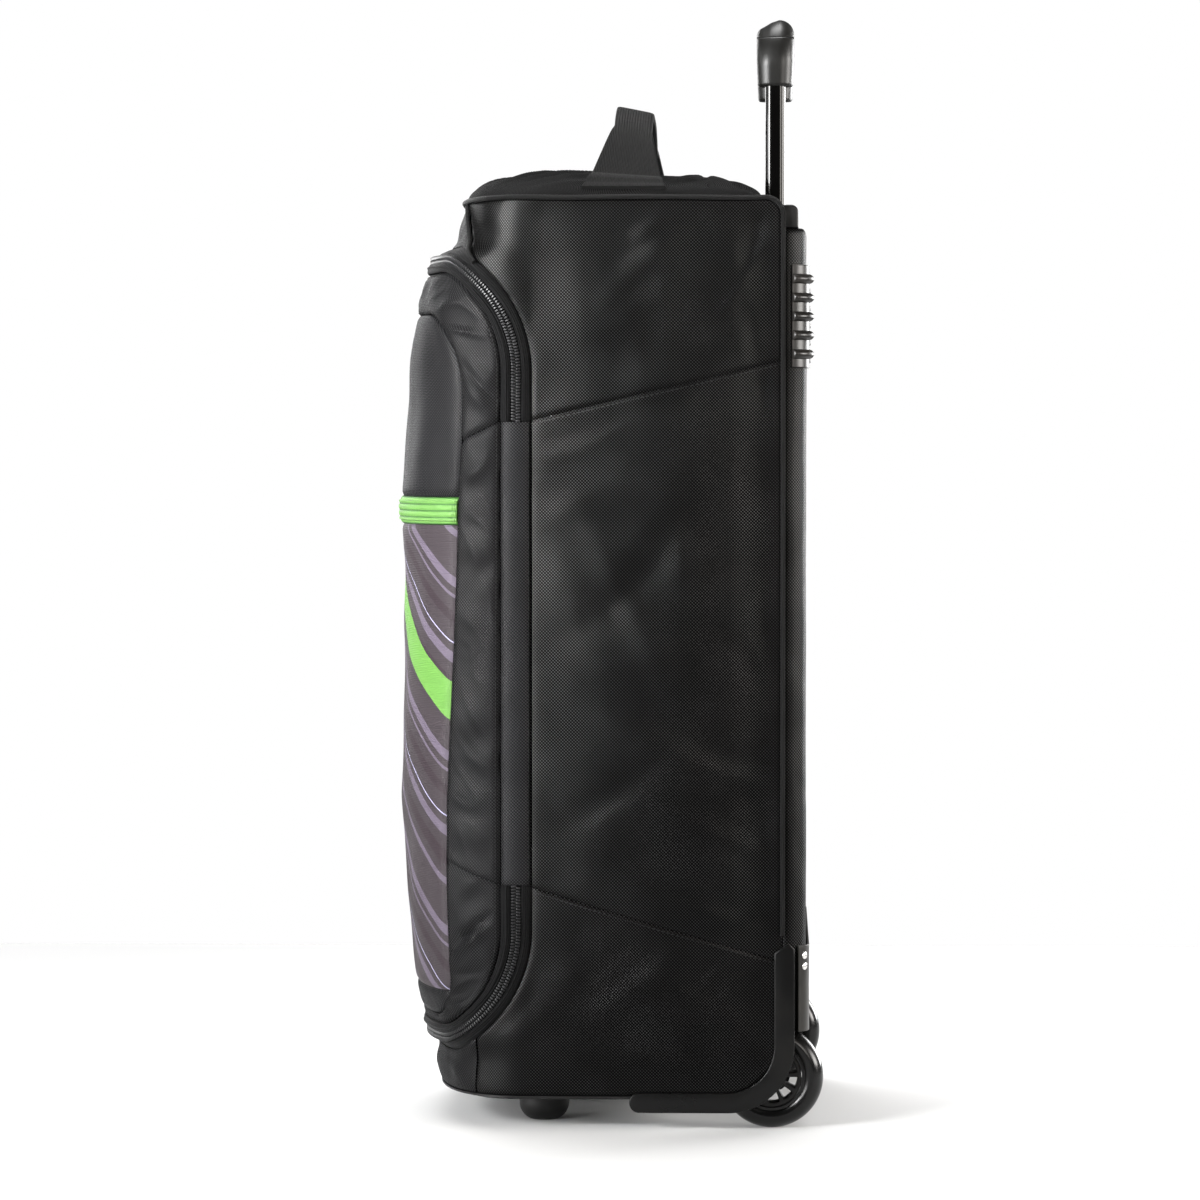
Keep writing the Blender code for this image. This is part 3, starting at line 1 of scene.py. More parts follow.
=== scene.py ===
"""Wheeled kit bag: the looks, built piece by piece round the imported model.

Metres, +Z up, the lid at -Y, the telescopic handle and the wheels at +Y, as the frame has it.
The file follows the bag as it is put together: the cloth body, the lid with its zips, the top
and its handles, then the base with its wheels.
"""
import math

import bmesh
import bpy
import numpy as np
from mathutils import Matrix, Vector


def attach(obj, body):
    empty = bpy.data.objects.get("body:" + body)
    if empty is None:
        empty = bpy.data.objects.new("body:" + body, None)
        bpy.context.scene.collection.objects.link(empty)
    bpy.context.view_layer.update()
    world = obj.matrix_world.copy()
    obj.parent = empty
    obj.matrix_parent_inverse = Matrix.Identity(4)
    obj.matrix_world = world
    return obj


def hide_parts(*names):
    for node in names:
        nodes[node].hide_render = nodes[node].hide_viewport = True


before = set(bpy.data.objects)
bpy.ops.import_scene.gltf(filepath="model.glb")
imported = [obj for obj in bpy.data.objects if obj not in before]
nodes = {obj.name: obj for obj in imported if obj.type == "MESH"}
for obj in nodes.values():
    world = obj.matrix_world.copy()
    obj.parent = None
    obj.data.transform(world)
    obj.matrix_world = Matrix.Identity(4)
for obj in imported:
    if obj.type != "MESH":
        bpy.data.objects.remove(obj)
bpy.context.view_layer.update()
SIDES = {"right": 1.0, "left": -1.0}


# Studio: a pale floor, a white surround and soft lamps. A wide sun stands above, a key lamp in
# front of the bag's right side, and softer lamps round it, the rear ones faintly warm. The
# camera stands level with the middle of the bag's right side.

def linear(code):
    """An sRGB hex colour as linear light with alpha 1: the standard curve, channel by channel."""
    channels = [int(code[i:i + 2], 16) / 255.0 for i in (0, 2, 4)]
    light = [c / 12.92 if c <= 0.04045 else ((c + 0.055) / 1.055) ** 2.4 for c in channels]
    return (*light, 1.0)


def add(tree, kind, settings=None, links=None):
    """Add a shader node, give it its settings, and link its inputs to other nodes.

    A hex code is a colour. A node as a source stands for its first output in use.
    """
    made = tree.nodes.new("ShaderNode" + kind)
    for name, value in (settings or {}).items():
        if isinstance(name, str) and hasattr(made, name):
            setattr(made, name, value)
        else:
            made.inputs[name].default_value = linear(value) if isinstance(value, str) else value
    for socket, source in (links or {}).items():
        if isinstance(source, bpy.types.Node):
            source = next(output for output in source.outputs if output.enabled)
        tree.links.new(source, made.inputs[socket])
    return made


def new_material(name):
    """A material with an empty node tree, and that tree."""
    material = bpy.data.materials.new(name)
    material.use_nodes = True
    material.node_tree.nodes.clear()
    return material, material.node_tree


def finish(tree, settings, links=None, bump=None):
    """End a material with its coat. A bump is a height, its strength and its depth in metres."""
    links = dict(links or {})
    if bump:
        height, strength, depth = bump
        links["Normal"] = add(tree, "Bump", {"Strength": strength, "Distance": depth},
                              {"Height": height})
    coat = add(tree, "BsdfPrincipled", settings, links)
    add(tree, "OutputMaterial", links={"Surface": coat})


CAMERA_SPOT = (4.201, 0.131, 0.5436)
CAMERA_AIM = (-1.0, -0.03358, -0.03124)
CAMERA_LENS_MM = 153.7
FLOOR_HALF = 1.3
SURROUND_WHITE = "ffffff"
SURROUND_LIGHT = 0.06
FLOOR_PAINT = "cecece"

scene = bpy.context.scene
scene.view_settings.view_transform = "Standard"
scene.view_settings.look = "None"

camera = bpy.data.objects.new("camera", bpy.data.cameras.new("camera"))
camera.data.lens = CAMERA_LENS_MM
camera.data.sensor_width = 36.0
camera.data.clip_end = 200.0
camera.location = CAMERA_SPOT
camera.rotation_euler = Vector(CAMERA_AIM).to_track_quat("-Z", "Y").to_euler()
scene.collection.objects.link(camera)
scene.camera = camera

world = bpy.data.worlds.new("white surround")
world.use_nodes = True
tree = world.node_tree
tree.nodes.clear()
ray = add(tree, "LightPath")
seen = add(tree, "MapRange", {"To Min": SURROUND_LIGHT, "To Max": 1.0},
           {"Value": ray.outputs["Is Camera Ray"]})
glow = add(tree, "Background", {"Color": SURROUND_WHITE}, {"Strength": seen})
add(tree, "OutputWorld", links={"Surface": glow})
scene.world = world

# Columns: name, kind, place, aim, size in metres or angle in degrees, watts or strength, hue,
# and the spread of a soft box's grid in degrees.
LAMPS = [
    ("top_lamp", "SUN", (-0.9, -0.3, 3.0), (0.0, 0.0, 0.0), 32.0, 3.6, "ffffff", 180.0),
    ("key_softbox", "AREA", (1.20, -1.02, 1.0), (0.15, -0.12, 0.70), 0.75, 11.8, "ffffff", 50.0),
    ("corner_softbox", "AREA", (1.0, -2.0, 0.45), (0.1, -0.1, 0.22), 1.0, 6.4, "ffffff", 56.0),
    ("low_softbox", "AREA", (1.35, -0.85, 0.30), (0.18, -0.06, 0.13), 0.4, 0.6, "ffffff", 40.0),
    ("rear_softbox", "AREA", (1.8, 1.20, 1.0), (0.15, 0.12, 0.70), 0.8, 3.3, "fffaf3", 60.0),
    ("front_softbox", "AREA", (-0.3, -2.9, 1.6), (0.0, -0.05, 0.45), 1.4, 15.5, "ffffff", 180.0),
    ("left_softbox", "AREA", (-2.4, -1.2, 1.1), (0.0, 0.0, 0.5), 1.5, 8.0, "ffffff", 90.0),
    ("rear_left_softbox", "AREA", (-1.8, 1.8, 0.8), (-0.1, 0.05, 0.5), 1.2, 12.0, "ffffff", 60.0),
    ("back_softbox", "AREA", (0.5, 2.3, 1.0), (0.1, 0.1, 0.74), 1.2, 12.5, "fffcf8", 50.0),
]
for name, kind, place, aim, size, power, hue, spread in LAMPS:
    lamp = bpy.data.lights.new(name, kind)
    lamp.energy = power
    lamp.color = linear(hue)[:3]
    if kind == "SUN":
        lamp.angle = math.radians(size)
    else:
        lamp.shape = "SQUARE"
        lamp.size = size
        lamp.spread = math.radians(spread)
    thing = bpy.data.objects.new(name, lamp)
    thing.location = place
    thing.visible_camera = False
    thing.rotation_euler = (Vector(aim) - Vector(place)).to_track_quat("-Z", "Y").to_euler()
    scene.collection.objects.link(thing)

# The floor is painted board: matt and off-white, so that it takes a soft shadow and no shine.
floor_paint, tree = new_material("matt floor paint")
finish(tree, {"Base Color": FLOOR_PAINT, "Roughness": 0.85, "Specular IOR Level": 0.1})
floor_mesh = bpy.data.meshes.new("floor")
floor_mesh.from_pydata(
    [(x * FLOOR_HALF, y * FLOOR_HALF, 0.0) for x, y in ((-1, -1), (1, -1), (1, 1), (-1, 1))],
    [], [(0, 1, 2, 3)])
floor_mesh.materials.append(floor_paint)
floor = bpy.data.objects.new("floor", floor_mesh)
scene.collection.objects.link(floor)


# Body surface. The bag is a sewn bag of foam-lined cloth. Its front is round in plan and its
# sides stand out a little, and every cloth panel lies on this one surface, in the same
# places as the solids.

HALF_WIDTH = 0.180
FRONT_SEAM_Y = -0.058
LID_REACH = 0.114
REAR_SEAM_Y = 0.1396
BACK_Y = 0.158
FLOOR_Z = 0.024
TOP_Z = 0.734
CLOTH = 0.0025
GAP = 0.0003
SEAM = 0.0005
PIPING_RADIUS = 0.002
PLAN_FULLNESS = 2.6
PLAN_STEPS = 241
FINE_PLAN_STEPS = 2001
EDGE_PLAN_STEPS = 401
REACH_STEPS = 41

# Front outline at mid width. Columns: share of the height from floor to top edge, share of
# LID_REACH in front of the side seam.
FRONT_OUTLINE = np.array([
    (0.000, 0.693), (0.013, 0.728), (0.030, 0.731), (0.045, 0.715), (0.052, 0.745),
    (0.063, 0.807), (0.101, 0.875), (0.142, 0.918), (0.215, 0.961), (0.287, 0.975),
    (0.327, 0.997), (0.422, 0.990), (0.503, 0.975), (0.600, 0.978), (0.654, 1.000),
    (0.687, 0.990), (0.780, 0.947), (0.821, 0.932), (0.854, 0.900), (0.901, 0.839),
    (0.939, 0.760), (0.948, 0.614), (0.956, 0.579), (1.000, 0.509),
])
OUTLINE_SOFTNESS = 0.004

# Dents in the side cloth. Columns: place along the side from the front seam, place up the
# bag, length and width of the dent, as shares of the side's depth, depth as a share of
# SIDE_PUFF, and turn of its long way from level in degrees.
SIDE_PUFF = 0.0125
SIDE_DENTS = [
    (0.24, 0.86, 0.55, 0.14, 0.03, 62.0),
    (0.72, 0.78, 0.60, 0.12, 0.10, -52.0),
    (0.30, 0.55, 0.70, 0.13, 0.08, 38.0),
    (0.64, 0.40, 0.80, 0.14, 0.10, -34.0),
    (0.78, 0.11, 0.42, 0.08, 0.22, -28.0),
    (0.22, 0.14, 0.40, 0.09, 0.16, 40.0),
]

RAIL_REAR_Y = 0.149
RAIL_LOW_Z = 0.014
RAIL_WIDTH = 0.0157
RAIL_OUTER_BEND = 0.053
RAIL_SOFT_EDGE = 0.035


def smooth_outline():
    """Height and reach tables of the front: the outline's straight pieces, averaged with a bell."""
    z = np.linspace(FLOOR_Z, TOP_Z, 1421)
    rough = LID_REACH * np.interp((z - FLOOR_Z) / (TOP_Z - FLOOR_Z), *FRONT_OUTLINE.T)
    step = z[1] - z[0]
    half = int(3.0 * OUTLINE_SOFTNESS / step)
    bell = np.exp(-0.5 * (np.arange(-half, half + 1) * step / OUTLINE_SOFTNESS) ** 2)
    padded = np.pad(rough, half, mode="edge")
    return z, np.convolve(padded, bell / bell.sum(), mode="valid")


OUTLINE_Z, OUTLINE_REACH = smooth_outline()


def reach_at(z):
    """How far the front stands before the side seam at a height, from the outline's table."""
    return np.interp(z, OUTLINE_Z, OUTLINE_REACH)


def quarter(count):
    """Even turns from nought to a right angle."""
    return np.linspace(0.0, 0.5 * math.pi, count)


def half_plan(reach, count):
    """Half plan of the front, mid to side: a superellipse's x, and how far it lies ahead."""
    turn, power = quarter(count), 2.0 / PLAN_FULLNESS
    return HALF_WIDTH * np.sin(turn) ** power, reach * np.abs(np.cos(turn)) ** power


def plan_tables():
    """Half plans for many reaches, even by length: x, distance ahead as a share, and length."""
    places = np.linspace(0.0, 1.0, PLAN_STEPS)
    reaches = np.linspace(0.3, 1.1, REACH_STEPS) * LID_REACH
    tables = []
    for reach in reaches:
        x, ahead = half_plan(reach, FINE_PLAN_STEPS)
        length = np.concatenate([[0.0], np.cumsum(np.hypot(np.diff(x), np.diff(ahead)))])
        even = places * length[-1]
        tables.append((np.interp(even, length, x), np.interp(even, length, ahead) / reach,
                       length[-1]))
    plan_x, plan_ahead, lengths = zip(*tables)
    half_length = float(np.interp(LID_REACH, reaches, lengths))
    return reaches, np.array(plan_x), np.array(plan_ahead), half_length


REACHES, PLAN_X, PLAN_AHEAD, HALF_LENGTH = plan_tables()


def front_point(along, z):
    """Points of the front cloth and their level outward directions, by distance from its middle.

    The plan is read from the tables between four neighbours, scaled by the reach at z.
    """
    along, z = np.broadcast_arrays(np.asarray(along, float), np.asarray(z, float))
    reach = reach_at(z)
    row = np.clip((reach - REACHES[0]) / (REACHES[1] - REACHES[0]), 0.0, REACH_STEPS - 1.001)
    column = np.clip(np.abs(along) / HALF_LENGTH, 0.0, 1.0) * (PLAN_STEPS - 1.001)
    i, j = row.astype(int), column.astype(int)
    a, b = row - i, column - j

    def read(table):
        low = table[i, j] * (1.0 - b) + table[i, j + 1] * b
        high = table[i + 1, j] * (1.0 - b) + table[i + 1, j + 1] * b
        return low * (1.0 - a) + high * a

    side = np.where(along < 0.0, -1.0, 1.0)
    x = read(PLAN_X)
    ahead = read(PLAN_AHEAD)
    out_x = (x / HALF_WIDTH) ** (PLAN_FULLNESS - 1.0) / HALF_WIDTH
    out_y = ahead ** (PLAN_FULLNESS - 1.0) / reach
    size = np.hypot(out_x, out_y)
    point = np.stack([side * x, FRONT_SEAM_Y - ahead * reach, z], axis=-1)
    outward = np.stack([side * out_x / size, -out_y / size, np.zeros_like(x)], axis=-1)
    return point, outward


def rail_room(y, z):
    """How far a point of the side lies inside the corner rail's inner edge."""
    rear = RAIL_REAR_Y - RAIL_WIDTH
    low = RAIL_LOW_Z + RAIL_WIDTH
    bend = RAIL_OUTER_BEND - RAIL_WIDTH
    into_y, into_z = y - (rear - bend), (low + bend) - z
    corner = bend - np.hypot(into_y, into_z)
    return np.where((into_y > 0.0) & (into_z > 0.0), corner, np.minimum(rear - y, z - low))


def side_puff(y, z):
    """How far the side cloth stands out: a half sine each way, less a bell for each dent."""
    depth = REAR_SEAM_Y - FRONT_SEAM_Y
    along = np.clip((y - FRONT_SEAM_Y) / depth, 0.0, 1.0)
    up = np.clip((z - FLOOR_Z) / (TOP_Z - 2.0 * PIPING_RADIUS - FLOOR_Z), 0.0, 1.0)
    edge = np.sin(math.pi * along) * np.sin(math.pi * up) ** 0.6
    room = np.clip(rail_room(y, z) / RAIL_SOFT_EDGE, 0.0, 1.0)
    edge = edge * room * room * (3.0 - 2.0 * room)
    puff = np.ones_like(edge)
    for place, rise, long_way, wide_way, dent, turn in SIDE_DENTS:
        dy = along - place
        dz = (up - rise) * (TOP_Z - FLOOR_Z) / depth
        angle = math.radians(turn)
        run = (dy * math.cos(angle) + dz * math.sin(angle)) / (0.5 * long_way)
        across = (dz * math.cos(angle) - dy * math.sin(angle)) / (0.5 * wide_way)
        puff = puff - dent * np.exp(-run * run - across * across)
    return SIDE_PUFF * edge * puff


def flank_point(side, forward, z):
    """Points of the side and their outward directions, by distance past the front seam."""
    forward, z = np.broadcast_arrays(np.asarray(forward, float), np.asarray(z, float))
    front, front_out = front_point(side * (HALF_LENGTH - np.maximum(forward, 0.0)), z)
    y = FRONT_SEAM_Y - np.minimum(forward, 0.0)
    flat = np.stack([side * (HALF_WIDTH + side_puff(y, z)), y, z], axis=-1)
    flat_out = np.zeros_like(flat)
    flat_out[..., 0] = side
    ahead = (forward > 0.0)[..., None]
    return np.where(ahead, front, flat), np.where(ahead, front_out, flat_out)


# Side cloth, three panels a side. Polyester twill with a thin foam and a lining behind it,
# sewn edge to edge and topstitched along the two slanting seams. Each panel is a fine grid on
# the body surface that dips at its seams, puckers beside them, and has loose wrinkles.

TWILL_BASE = "020202"
TWILL_THREAD = "060606"
TWILL_PITCH = 0.0018
TWILL_WORN = "070606"
SEAM_DIP = 0.0012
SEAM_DIP_WIDTH = 0.0012
PUCKER_HEIGHT = 0.00018
PUCKER_REACH = 0.016
PUCKER_PITCH = 0.011
GRID_STEP = 0.0026
SIDE_COLUMNS = 78
SIDE_LOOSE = 0.0009

UPPER_SEAM = (0.559, 0.606)
LOWER_SEAM = (0.191, 0.133)
REAR_TOP_DROP = 0.014
CORNER_CURVE = 1.6
LID_TOP_Z = 0.697
LID_BOTTOM_Z = 0.058
LID_CORNER = 0.100
FRONT_PIPING_TOP = 0.112
FRONT_SEAM_LOW = 0.056
FOOT_TURN = math.radians(60.0)
TOP_FOOT_Z = LID_TOP_Z - LID_CORNER * (1.0 - math.sin(FOOT_TURN))
LOW_FOOT_Z = LID_BOTTOM_Z + LID_CORNER * (1.0 - math.sin(FOOT_TURN))
SIDE_LOW_Z = FLOOR_Z + CLOTH + GAP
SIDE_REAR = FRONT_SEAM_Y - REAR_SEAM_Y + GAP


def crumple(u, v, size, seed, waves=9):
    """A smooth height from about -1 to 1: the mean of waves with seeded ways, lengths and starts."""
    draw = np.random.default_rng(seed)
    total = np.zeros(np.broadcast(u, v).shape)
    for _ in range(waves):
        way = draw.uniform(0.0, math.pi)
        length = size * draw.uniform(0.7, 1.8)
        start = draw.uniform(0.0, 2.0 * math.pi)
        total += np.sin(2.0 * math.pi * (u * math.cos(way) + v * math.sin(way)) / length + start)
    return total / math.sqrt(0.5 * waves) / 1.6


def wrinkles(u, v, size, seed):
    """Soft ridges with sharp crests: one less the size of a crumple, bent by a slower one."""
    bend = 0.35 * size
    du = bend * crumple(u, v, 3.0 * size, seed + 1)
    dv = bend * crumple(u, v, 3.0 * size, seed + 2)
    return 1.0 - np.minimum(np.abs(crumple(u + du, v + dv, size, seed)) * 1.5, 1.0)


def folds(u, v, rows):
    """Straight folds: a bell across each line, fading to both its ends.

    Each row has the line's two ends (u, v, u, v), its half width and its height, in metres.
    """
    total = np.zeros(np.broadcast(u, v).shape)
    for u0, v0, u1, v1, width, height in rows:
        length = math.hypot(u1 - u0, v1 - v0)
        along = ((u - u0) * (u1 - u0) + (v - v0) * (v1 - v0)) / length ** 2
        across = ((v - v0) * (u1 - u0) - (u - u0) * (v1 - v0)) / length
        fade = np.clip(along * (1.0 - along) * 4.0, 0.0, 1.0) ** 0.6
        total += height * fade * np.exp(-(across / width) ** 2)
    return total


def seam_dip(far, depth=SEAM_DIP, width=SEAM_DIP_WIDTH):
    """The cloth's dip at a seam: an even fall that dies away with distance."""
    return -depth * np.exp(-far / width)


def puckers(far, along, seed):
    """Short ripples square to a seam: waves along it that die away from it."""
    drift = crumple(along, np.zeros_like(along), 0.06, seed)
    ripple = np.sin(2.0 * math.pi * along / PUCKER_PITCH + 3.0 * drift)
    strength = 0.5 + 0.5 * crumple(along, np.zeros_like(along), 0.09, seed + 5)
    return PUCKER_HEIGHT * strength * ripple * np.exp(-far / PUCKER_REACH)


def rows_length(points):
    """Lengths along the rows and along the columns of a grid of points, from its first corner."""
    across = np.linalg.norm(np.diff(points, axis=1), axis=-1)
    down = np.linalg.norm(np.diff(points, axis=0), axis=-1)
    across = np.concatenate([np.zeros((points.shape[0], 1)), np.cumsum(across, axis=1)], axis=1)
    down = np.concatenate([np.zeros((1, points.shape[1])), np.cumsum(down, axis=0)], axis=0)
    return across, down


def grid_faces(rows, columns, start, wrap=False):
    """Corner numbers of the quads of a grid whose points are numbered row by row."""
    numbers = start + np.arange(rows * columns).reshape(rows, columns)
    if wrap:
        numbers = np.concatenate([numbers, numbers[:, :1]], axis=1)
    return np.stack([numbers[:-1, :-1], numbers[:-1, 1:], numbers[1:, 1:], numbers[1:, :-1]],
                    axis=-1).reshape(-1, 4)


def make_mesh(name, points, faces, uv, material, smooth_deg=45.0):
    """A mesh object at the origin, from points, faces and a metre map by point or by face corner."""
    mesh = bpy.data.meshes.new(name)
    mesh.from_pydata(points.reshape(-1, 3).tolist(), [], [list(map(int, f)) for f in faces])
    layer = mesh.uv_layers.new(name="UVMap")
    maps = uv.reshape(-1, 2)
    if len(maps) != len(mesh.loops):
        corners = np.empty(len(mesh.loops), int)
        mesh.loops.foreach_get("vertex_index", corners)
        maps = maps[corners]
    layer.data.foreach_set("uv", maps.astype(np.float32).ravel())
    mesh.shade_smooth()
    mesh.set_sharp_from_angle(angle=math.radians(smooth_deg))
    mesh.materials.append(material)
    thing = bpy.data.objects.new(name, mesh)
    scene.collection.objects.link(thing)
    return thing


def wall(name, outer, inner, uv, material):
    """A closed wall between two grids of points, with their rims joined, its faces outwards."""
    rows, columns = outer.shape[:2]
    front = grid_faces(rows, columns, 0)
    a, b, c = outer[0, 0], outer[0, 1], outer[1, 0]
    if np.dot(np.cross(b - a, c - a), outer[0, 0] - inner[0, 0]) < 0.0:
        front = front[:, ::-1]
    back = front[:, ::-1] + rows * columns
    numbers = np.arange(rows * columns).reshape(rows, columns)
    rim = np.concatenate([numbers[0], numbers[1:, -1], numbers[-1, -2::-1], numbers[-2:0:-1, 0]])
    onward = np.roll(rim, -1)
    band = np.stack([rim, onward, onward + rows * columns, rim + rows * columns], axis=-1)
    near = front[0].tolist()
    place = near.index(int(rim[0]))
    if near[(place + 1) % 4] == int(rim[1]):
        band = band[:, ::-1]
    faces = np.concatenate([front, back, band])
    both = np.concatenate([outer.reshape(-1, 3), inner.reshape(-1, 3)])
    maps = np.concatenate([uv.reshape(-1, 2)] * 2)
    return make_mesh(name, both, faces, maps, material)


def cloth_wall(name, outer, outward, uv, material, thickness=CLOTH):
    """A wall of cloth: the outer grid of points, and its copy moved inwards by the thickness."""
    return wall(name, outer, outer - outward * thickness, uv, material)


def cloth_map(tree):
    """A piece's metre map in a material: the map, its way across and its way up."""
    place = add(tree, "UVMap", {"uv_map": "UVMap"})
    parts = add(tree, "SeparateXYZ", links={"Vector": place})
    return place, parts.outputs["X"], parts.outputs["Y"]


def sine_of(tree, source, turns, operation="SINE"):
    """The sine, or the cosine, of a length times the turns that it makes in a metre."""
    turned = add(tree, "Math", {"operation": "MULTIPLY", 1: turns}, {0: source})
    return add(tree, "Math", {"operation": operation}, {0: turned})


def patches(tree, place, scale, detail, low, high, most, least=0.0):
    """A noise, and soft patches where it is high: a share from the least to the most."""
    noise = add(tree, "TexNoise", {"Scale": scale, "Detail": detail}, {"Vector": place})
    return noise, add(tree, "MapRange", {"From Min": low, "From Max": high, "To Min": least,
                                         "To Max": most}, {"Value": noise})


def twill(name, base, thread, pitch, rough, shine=0.36):
    """Polyester twill: slanting ribs crossed by finer threads, clearest where the cloth lies taut.

    The ribs are a sine of the map's two ways added together, and the threads one of their
    difference. A slow noise lets the ribs come and go, as the foam behind them does, and
    another lays worn patches on them. To the eye it is a dull black with fine slanting glints.
    """
    material, tree = new_material(name)
    place, u, v = cloth_map(tree)
    plus = add(tree, "Math", {"operation": "ADD"}, {0: u, 1: v})
    minus = add(tree, "Math", {"operation": "SUBTRACT"}, {0: u, 1: v})
    turns = 2.0 * math.pi / (pitch * math.sqrt(2.0))
    rib = sine_of(tree, plus, turns)
    cross = sine_of(tree, minus, turns)
    weave = add(tree, "Math", {"operation": "MULTIPLY_ADD", 1: 0.85}, {0: cross, 2: rib})
    _, clear = patches(tree, place, 22.0, 1.0, 0.38, 0.62, 1.0, 0.70)
    shown = add(tree, "Math", {"operation": "MULTIPLY"}, {0: weave, 1: clear})
    share = add(tree, "MapRange", {"From Min": -1.7, "From Max": 1.7}, {"Value": shown})
    _, dusty = patches(tree, place, 7.0, 4.0, 0.45, 0.75, 0.5)
    dyed = add(tree, "Mix", {"data_type": "RGBA", 6: base, 7: thread}, {0: share})
    tone = add(tree, "Mix", {"data_type": "RGBA", 7: TWILL_WORN}, {0: dusty, 6: dyed})
    gloss = add(tree, "MapRange", {"To Min": rough + 0.06, "To Max": rough - 0.06},
                {"Value": share})
    glint = add(tree, "MapRange", {"From Min": 0.5, "From Max": 0.95, "To Max": 1.3 * shine},
                {"Value": share})
    finish(tree, {"IOR": 1.5},
           {"Base Color": tone, "Roughness": gloss, "Specular IOR Level": glint},
           (shown, 0.5, 0.00008))
    return material


def seam_line(ends, forward):
    """Height of a straight side seam, from its front and rear heights."""
    share = np.clip(-forward / (REAR_SEAM_Y - FRONT_SEAM_Y), 0.0, 1.0)
    return ends[0] + (ends[1] - ends[0]) * share


def top_edge(forward):
    """Height of the side's top edge: level, then a quarter round at the rear corner."""
    into = -forward - (REAR_SEAM_Y - FRONT_SEAM_Y - REAR_TOP_DROP)
    share = np.clip(into / REAR_TOP_DROP, 0.0, 1.0)
    return TOP_Z - REAR_TOP_DROP * (1.0 - np.sqrt(1.0 - share * share))


def bottom_edge(forward):
    """Height of the side's bottom edge: level, then a superellipse up inside the rail's bend."""
    start = RAIL_REAR_Y - RAIL_OUTER_BEND
    bend = REAR_SEAM_Y - start
    share = np.clip((FRONT_SEAM_Y - forward - start) / bend, 0.0, 1.0)
    rise = (1.0 - share ** CORNER_CURVE) ** (1.0 / CORNER_CURVE)
    return SIDE_LOW_Z + bend * (1.0 - rise)


def lid_edge(z):
    """How far past the side seam the cloth reaches: the lid loop's round corners."""
    over = np.maximum(z - (LID_TOP_Z - LID_CORNER), (LID_BOTTOM_Z + LID_CORNER) - z)
    over = np.clip(over, 0.0, LID_CORNER)
    return LID_CORNER - np.sqrt(LID_CORNER ** 2 - over ** 2)


def front_limit(z):
    """The side cloth's front edge: the lid's loop, and a straight slant past each foot of it."""
    high = (z - TOP_FOOT_Z) / (TOP_Z - TOP_FOOT_Z)
    low = (LOW_FOOT_Z - z) / (LOW_FOOT_Z - FLOOR_Z)
    foot = float(lid_edge(np.array(TOP_FOOT_Z)))
    above = foot + (FRONT_PIPING_TOP - foot) * high
    below = foot + (FRONT_SEAM_LOW - foot) * low
    return np.where(z > TOP_FOOT_Z, above, np.where(z < LOW_FOOT_Z, below, lid_edge(z)))


def bead_shape():
    """A stitch or a tooth: a rounded bar, long one way, a lathe of six rows by six points."""
    turn = np.linspace(0.0, 2.0 * math.pi, 7)[:-1]
    place = np.array([-1.0, -0.8, -0.3, 0.3, 0.8, 1.0])
    size = np.array([0.35, 0.85, 1.0, 1.0, 0.85, 0.35])
    ring = np.stack([np.cos(turn), np.sin(turn)], axis=-1)
    points = np.concatenate([np.column_stack([np.full(6, p), ring * s])
                             for p, s in zip(place, size)])
    faces = [tuple(face) for face in grid_faces(6, 6, 0, True)]
    faces += [tuple(range(5, -1, -1)), tuple(range(30, 36))]
    return points, faces


def path_length(path):
    """Length from a path's start to each of its points."""
    return np.concatenate([[0.0], np.cumsum(np.linalg.norm(np.diff(path, axis=0), axis=1))])


def read_path(places, length, values):
    """Values at a path's points, read at places along its length."""
    return np.stack([np.interp(places, length, values[:, k]) for k in range(3)], axis=-1)


def unit(ways):
    """The same ways with a length of one."""
    return ways / np.linalg.norm(ways, axis=-1, keepdims=True)


def along_path(path, outward, pitch):
    """Even places on a path: each spot, and the ways onward, across and out there."""
    length = path_length(path)
    places = np.arange(0.5 * pitch, length[-1] - 0.25 * pitch, pitch)
    ahead, behind = (read_path(places + step * pitch, length, path) for step in (0.3, -0.3))
    onward = unit(ahead - behind)
    out = unit(read_path(places, length, outward))
    return read_path(places, length, path), onward, unit(np.cross(out, onward)), out


def scatter(name, shape, spots, frames, sizes, material):
    """One mesh of many copies of a shape: each turned by its frame's three rows and sized."""
    points, faces = shape
    turned = np.einsum("pk,nkc->npc", points * np.asarray(sizes), frames) + spots[:, None, :]
    count = len(points)
    all_faces = [tuple(c + n * count for c in face) for n in range(len(spots)) for face in faces]
    flat = turned.reshape(-1, 3)
    return make_mesh(name, flat, all_faces, flat[:, :2], material)


STITCH_PITCH = 0.0040
STITCH_LENGTH = 0.0029
STITCH_THICK = 0.00034
STITCH_INSET = 0.0026
STITCH_COLUMN = 2


def stitch_row(path, outward):
    """Places and frames of a row of stitches along a path of points with their outward ways."""
    spots, onward, across, out = along_path(path, outward, STITCH_PITCH)
    return spots + 0.5 * STITCH_THICK * out, np.stack([onward, across, out], axis=1)


def sewn_rows(name, rows):
    """Rows of stitches of bonded thread as one mesh, which is part of the bag."""
    spots, frames = (np.concatenate(part) for part in zip(*rows))
    sizes = (0.5 * STITCH_LENGTH, STITCH_THICK, STITCH_THICK)
    thread = scatter(name, bead_shape(), spots, frames, sizes, sewing_thread)
    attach(thread, "bag")


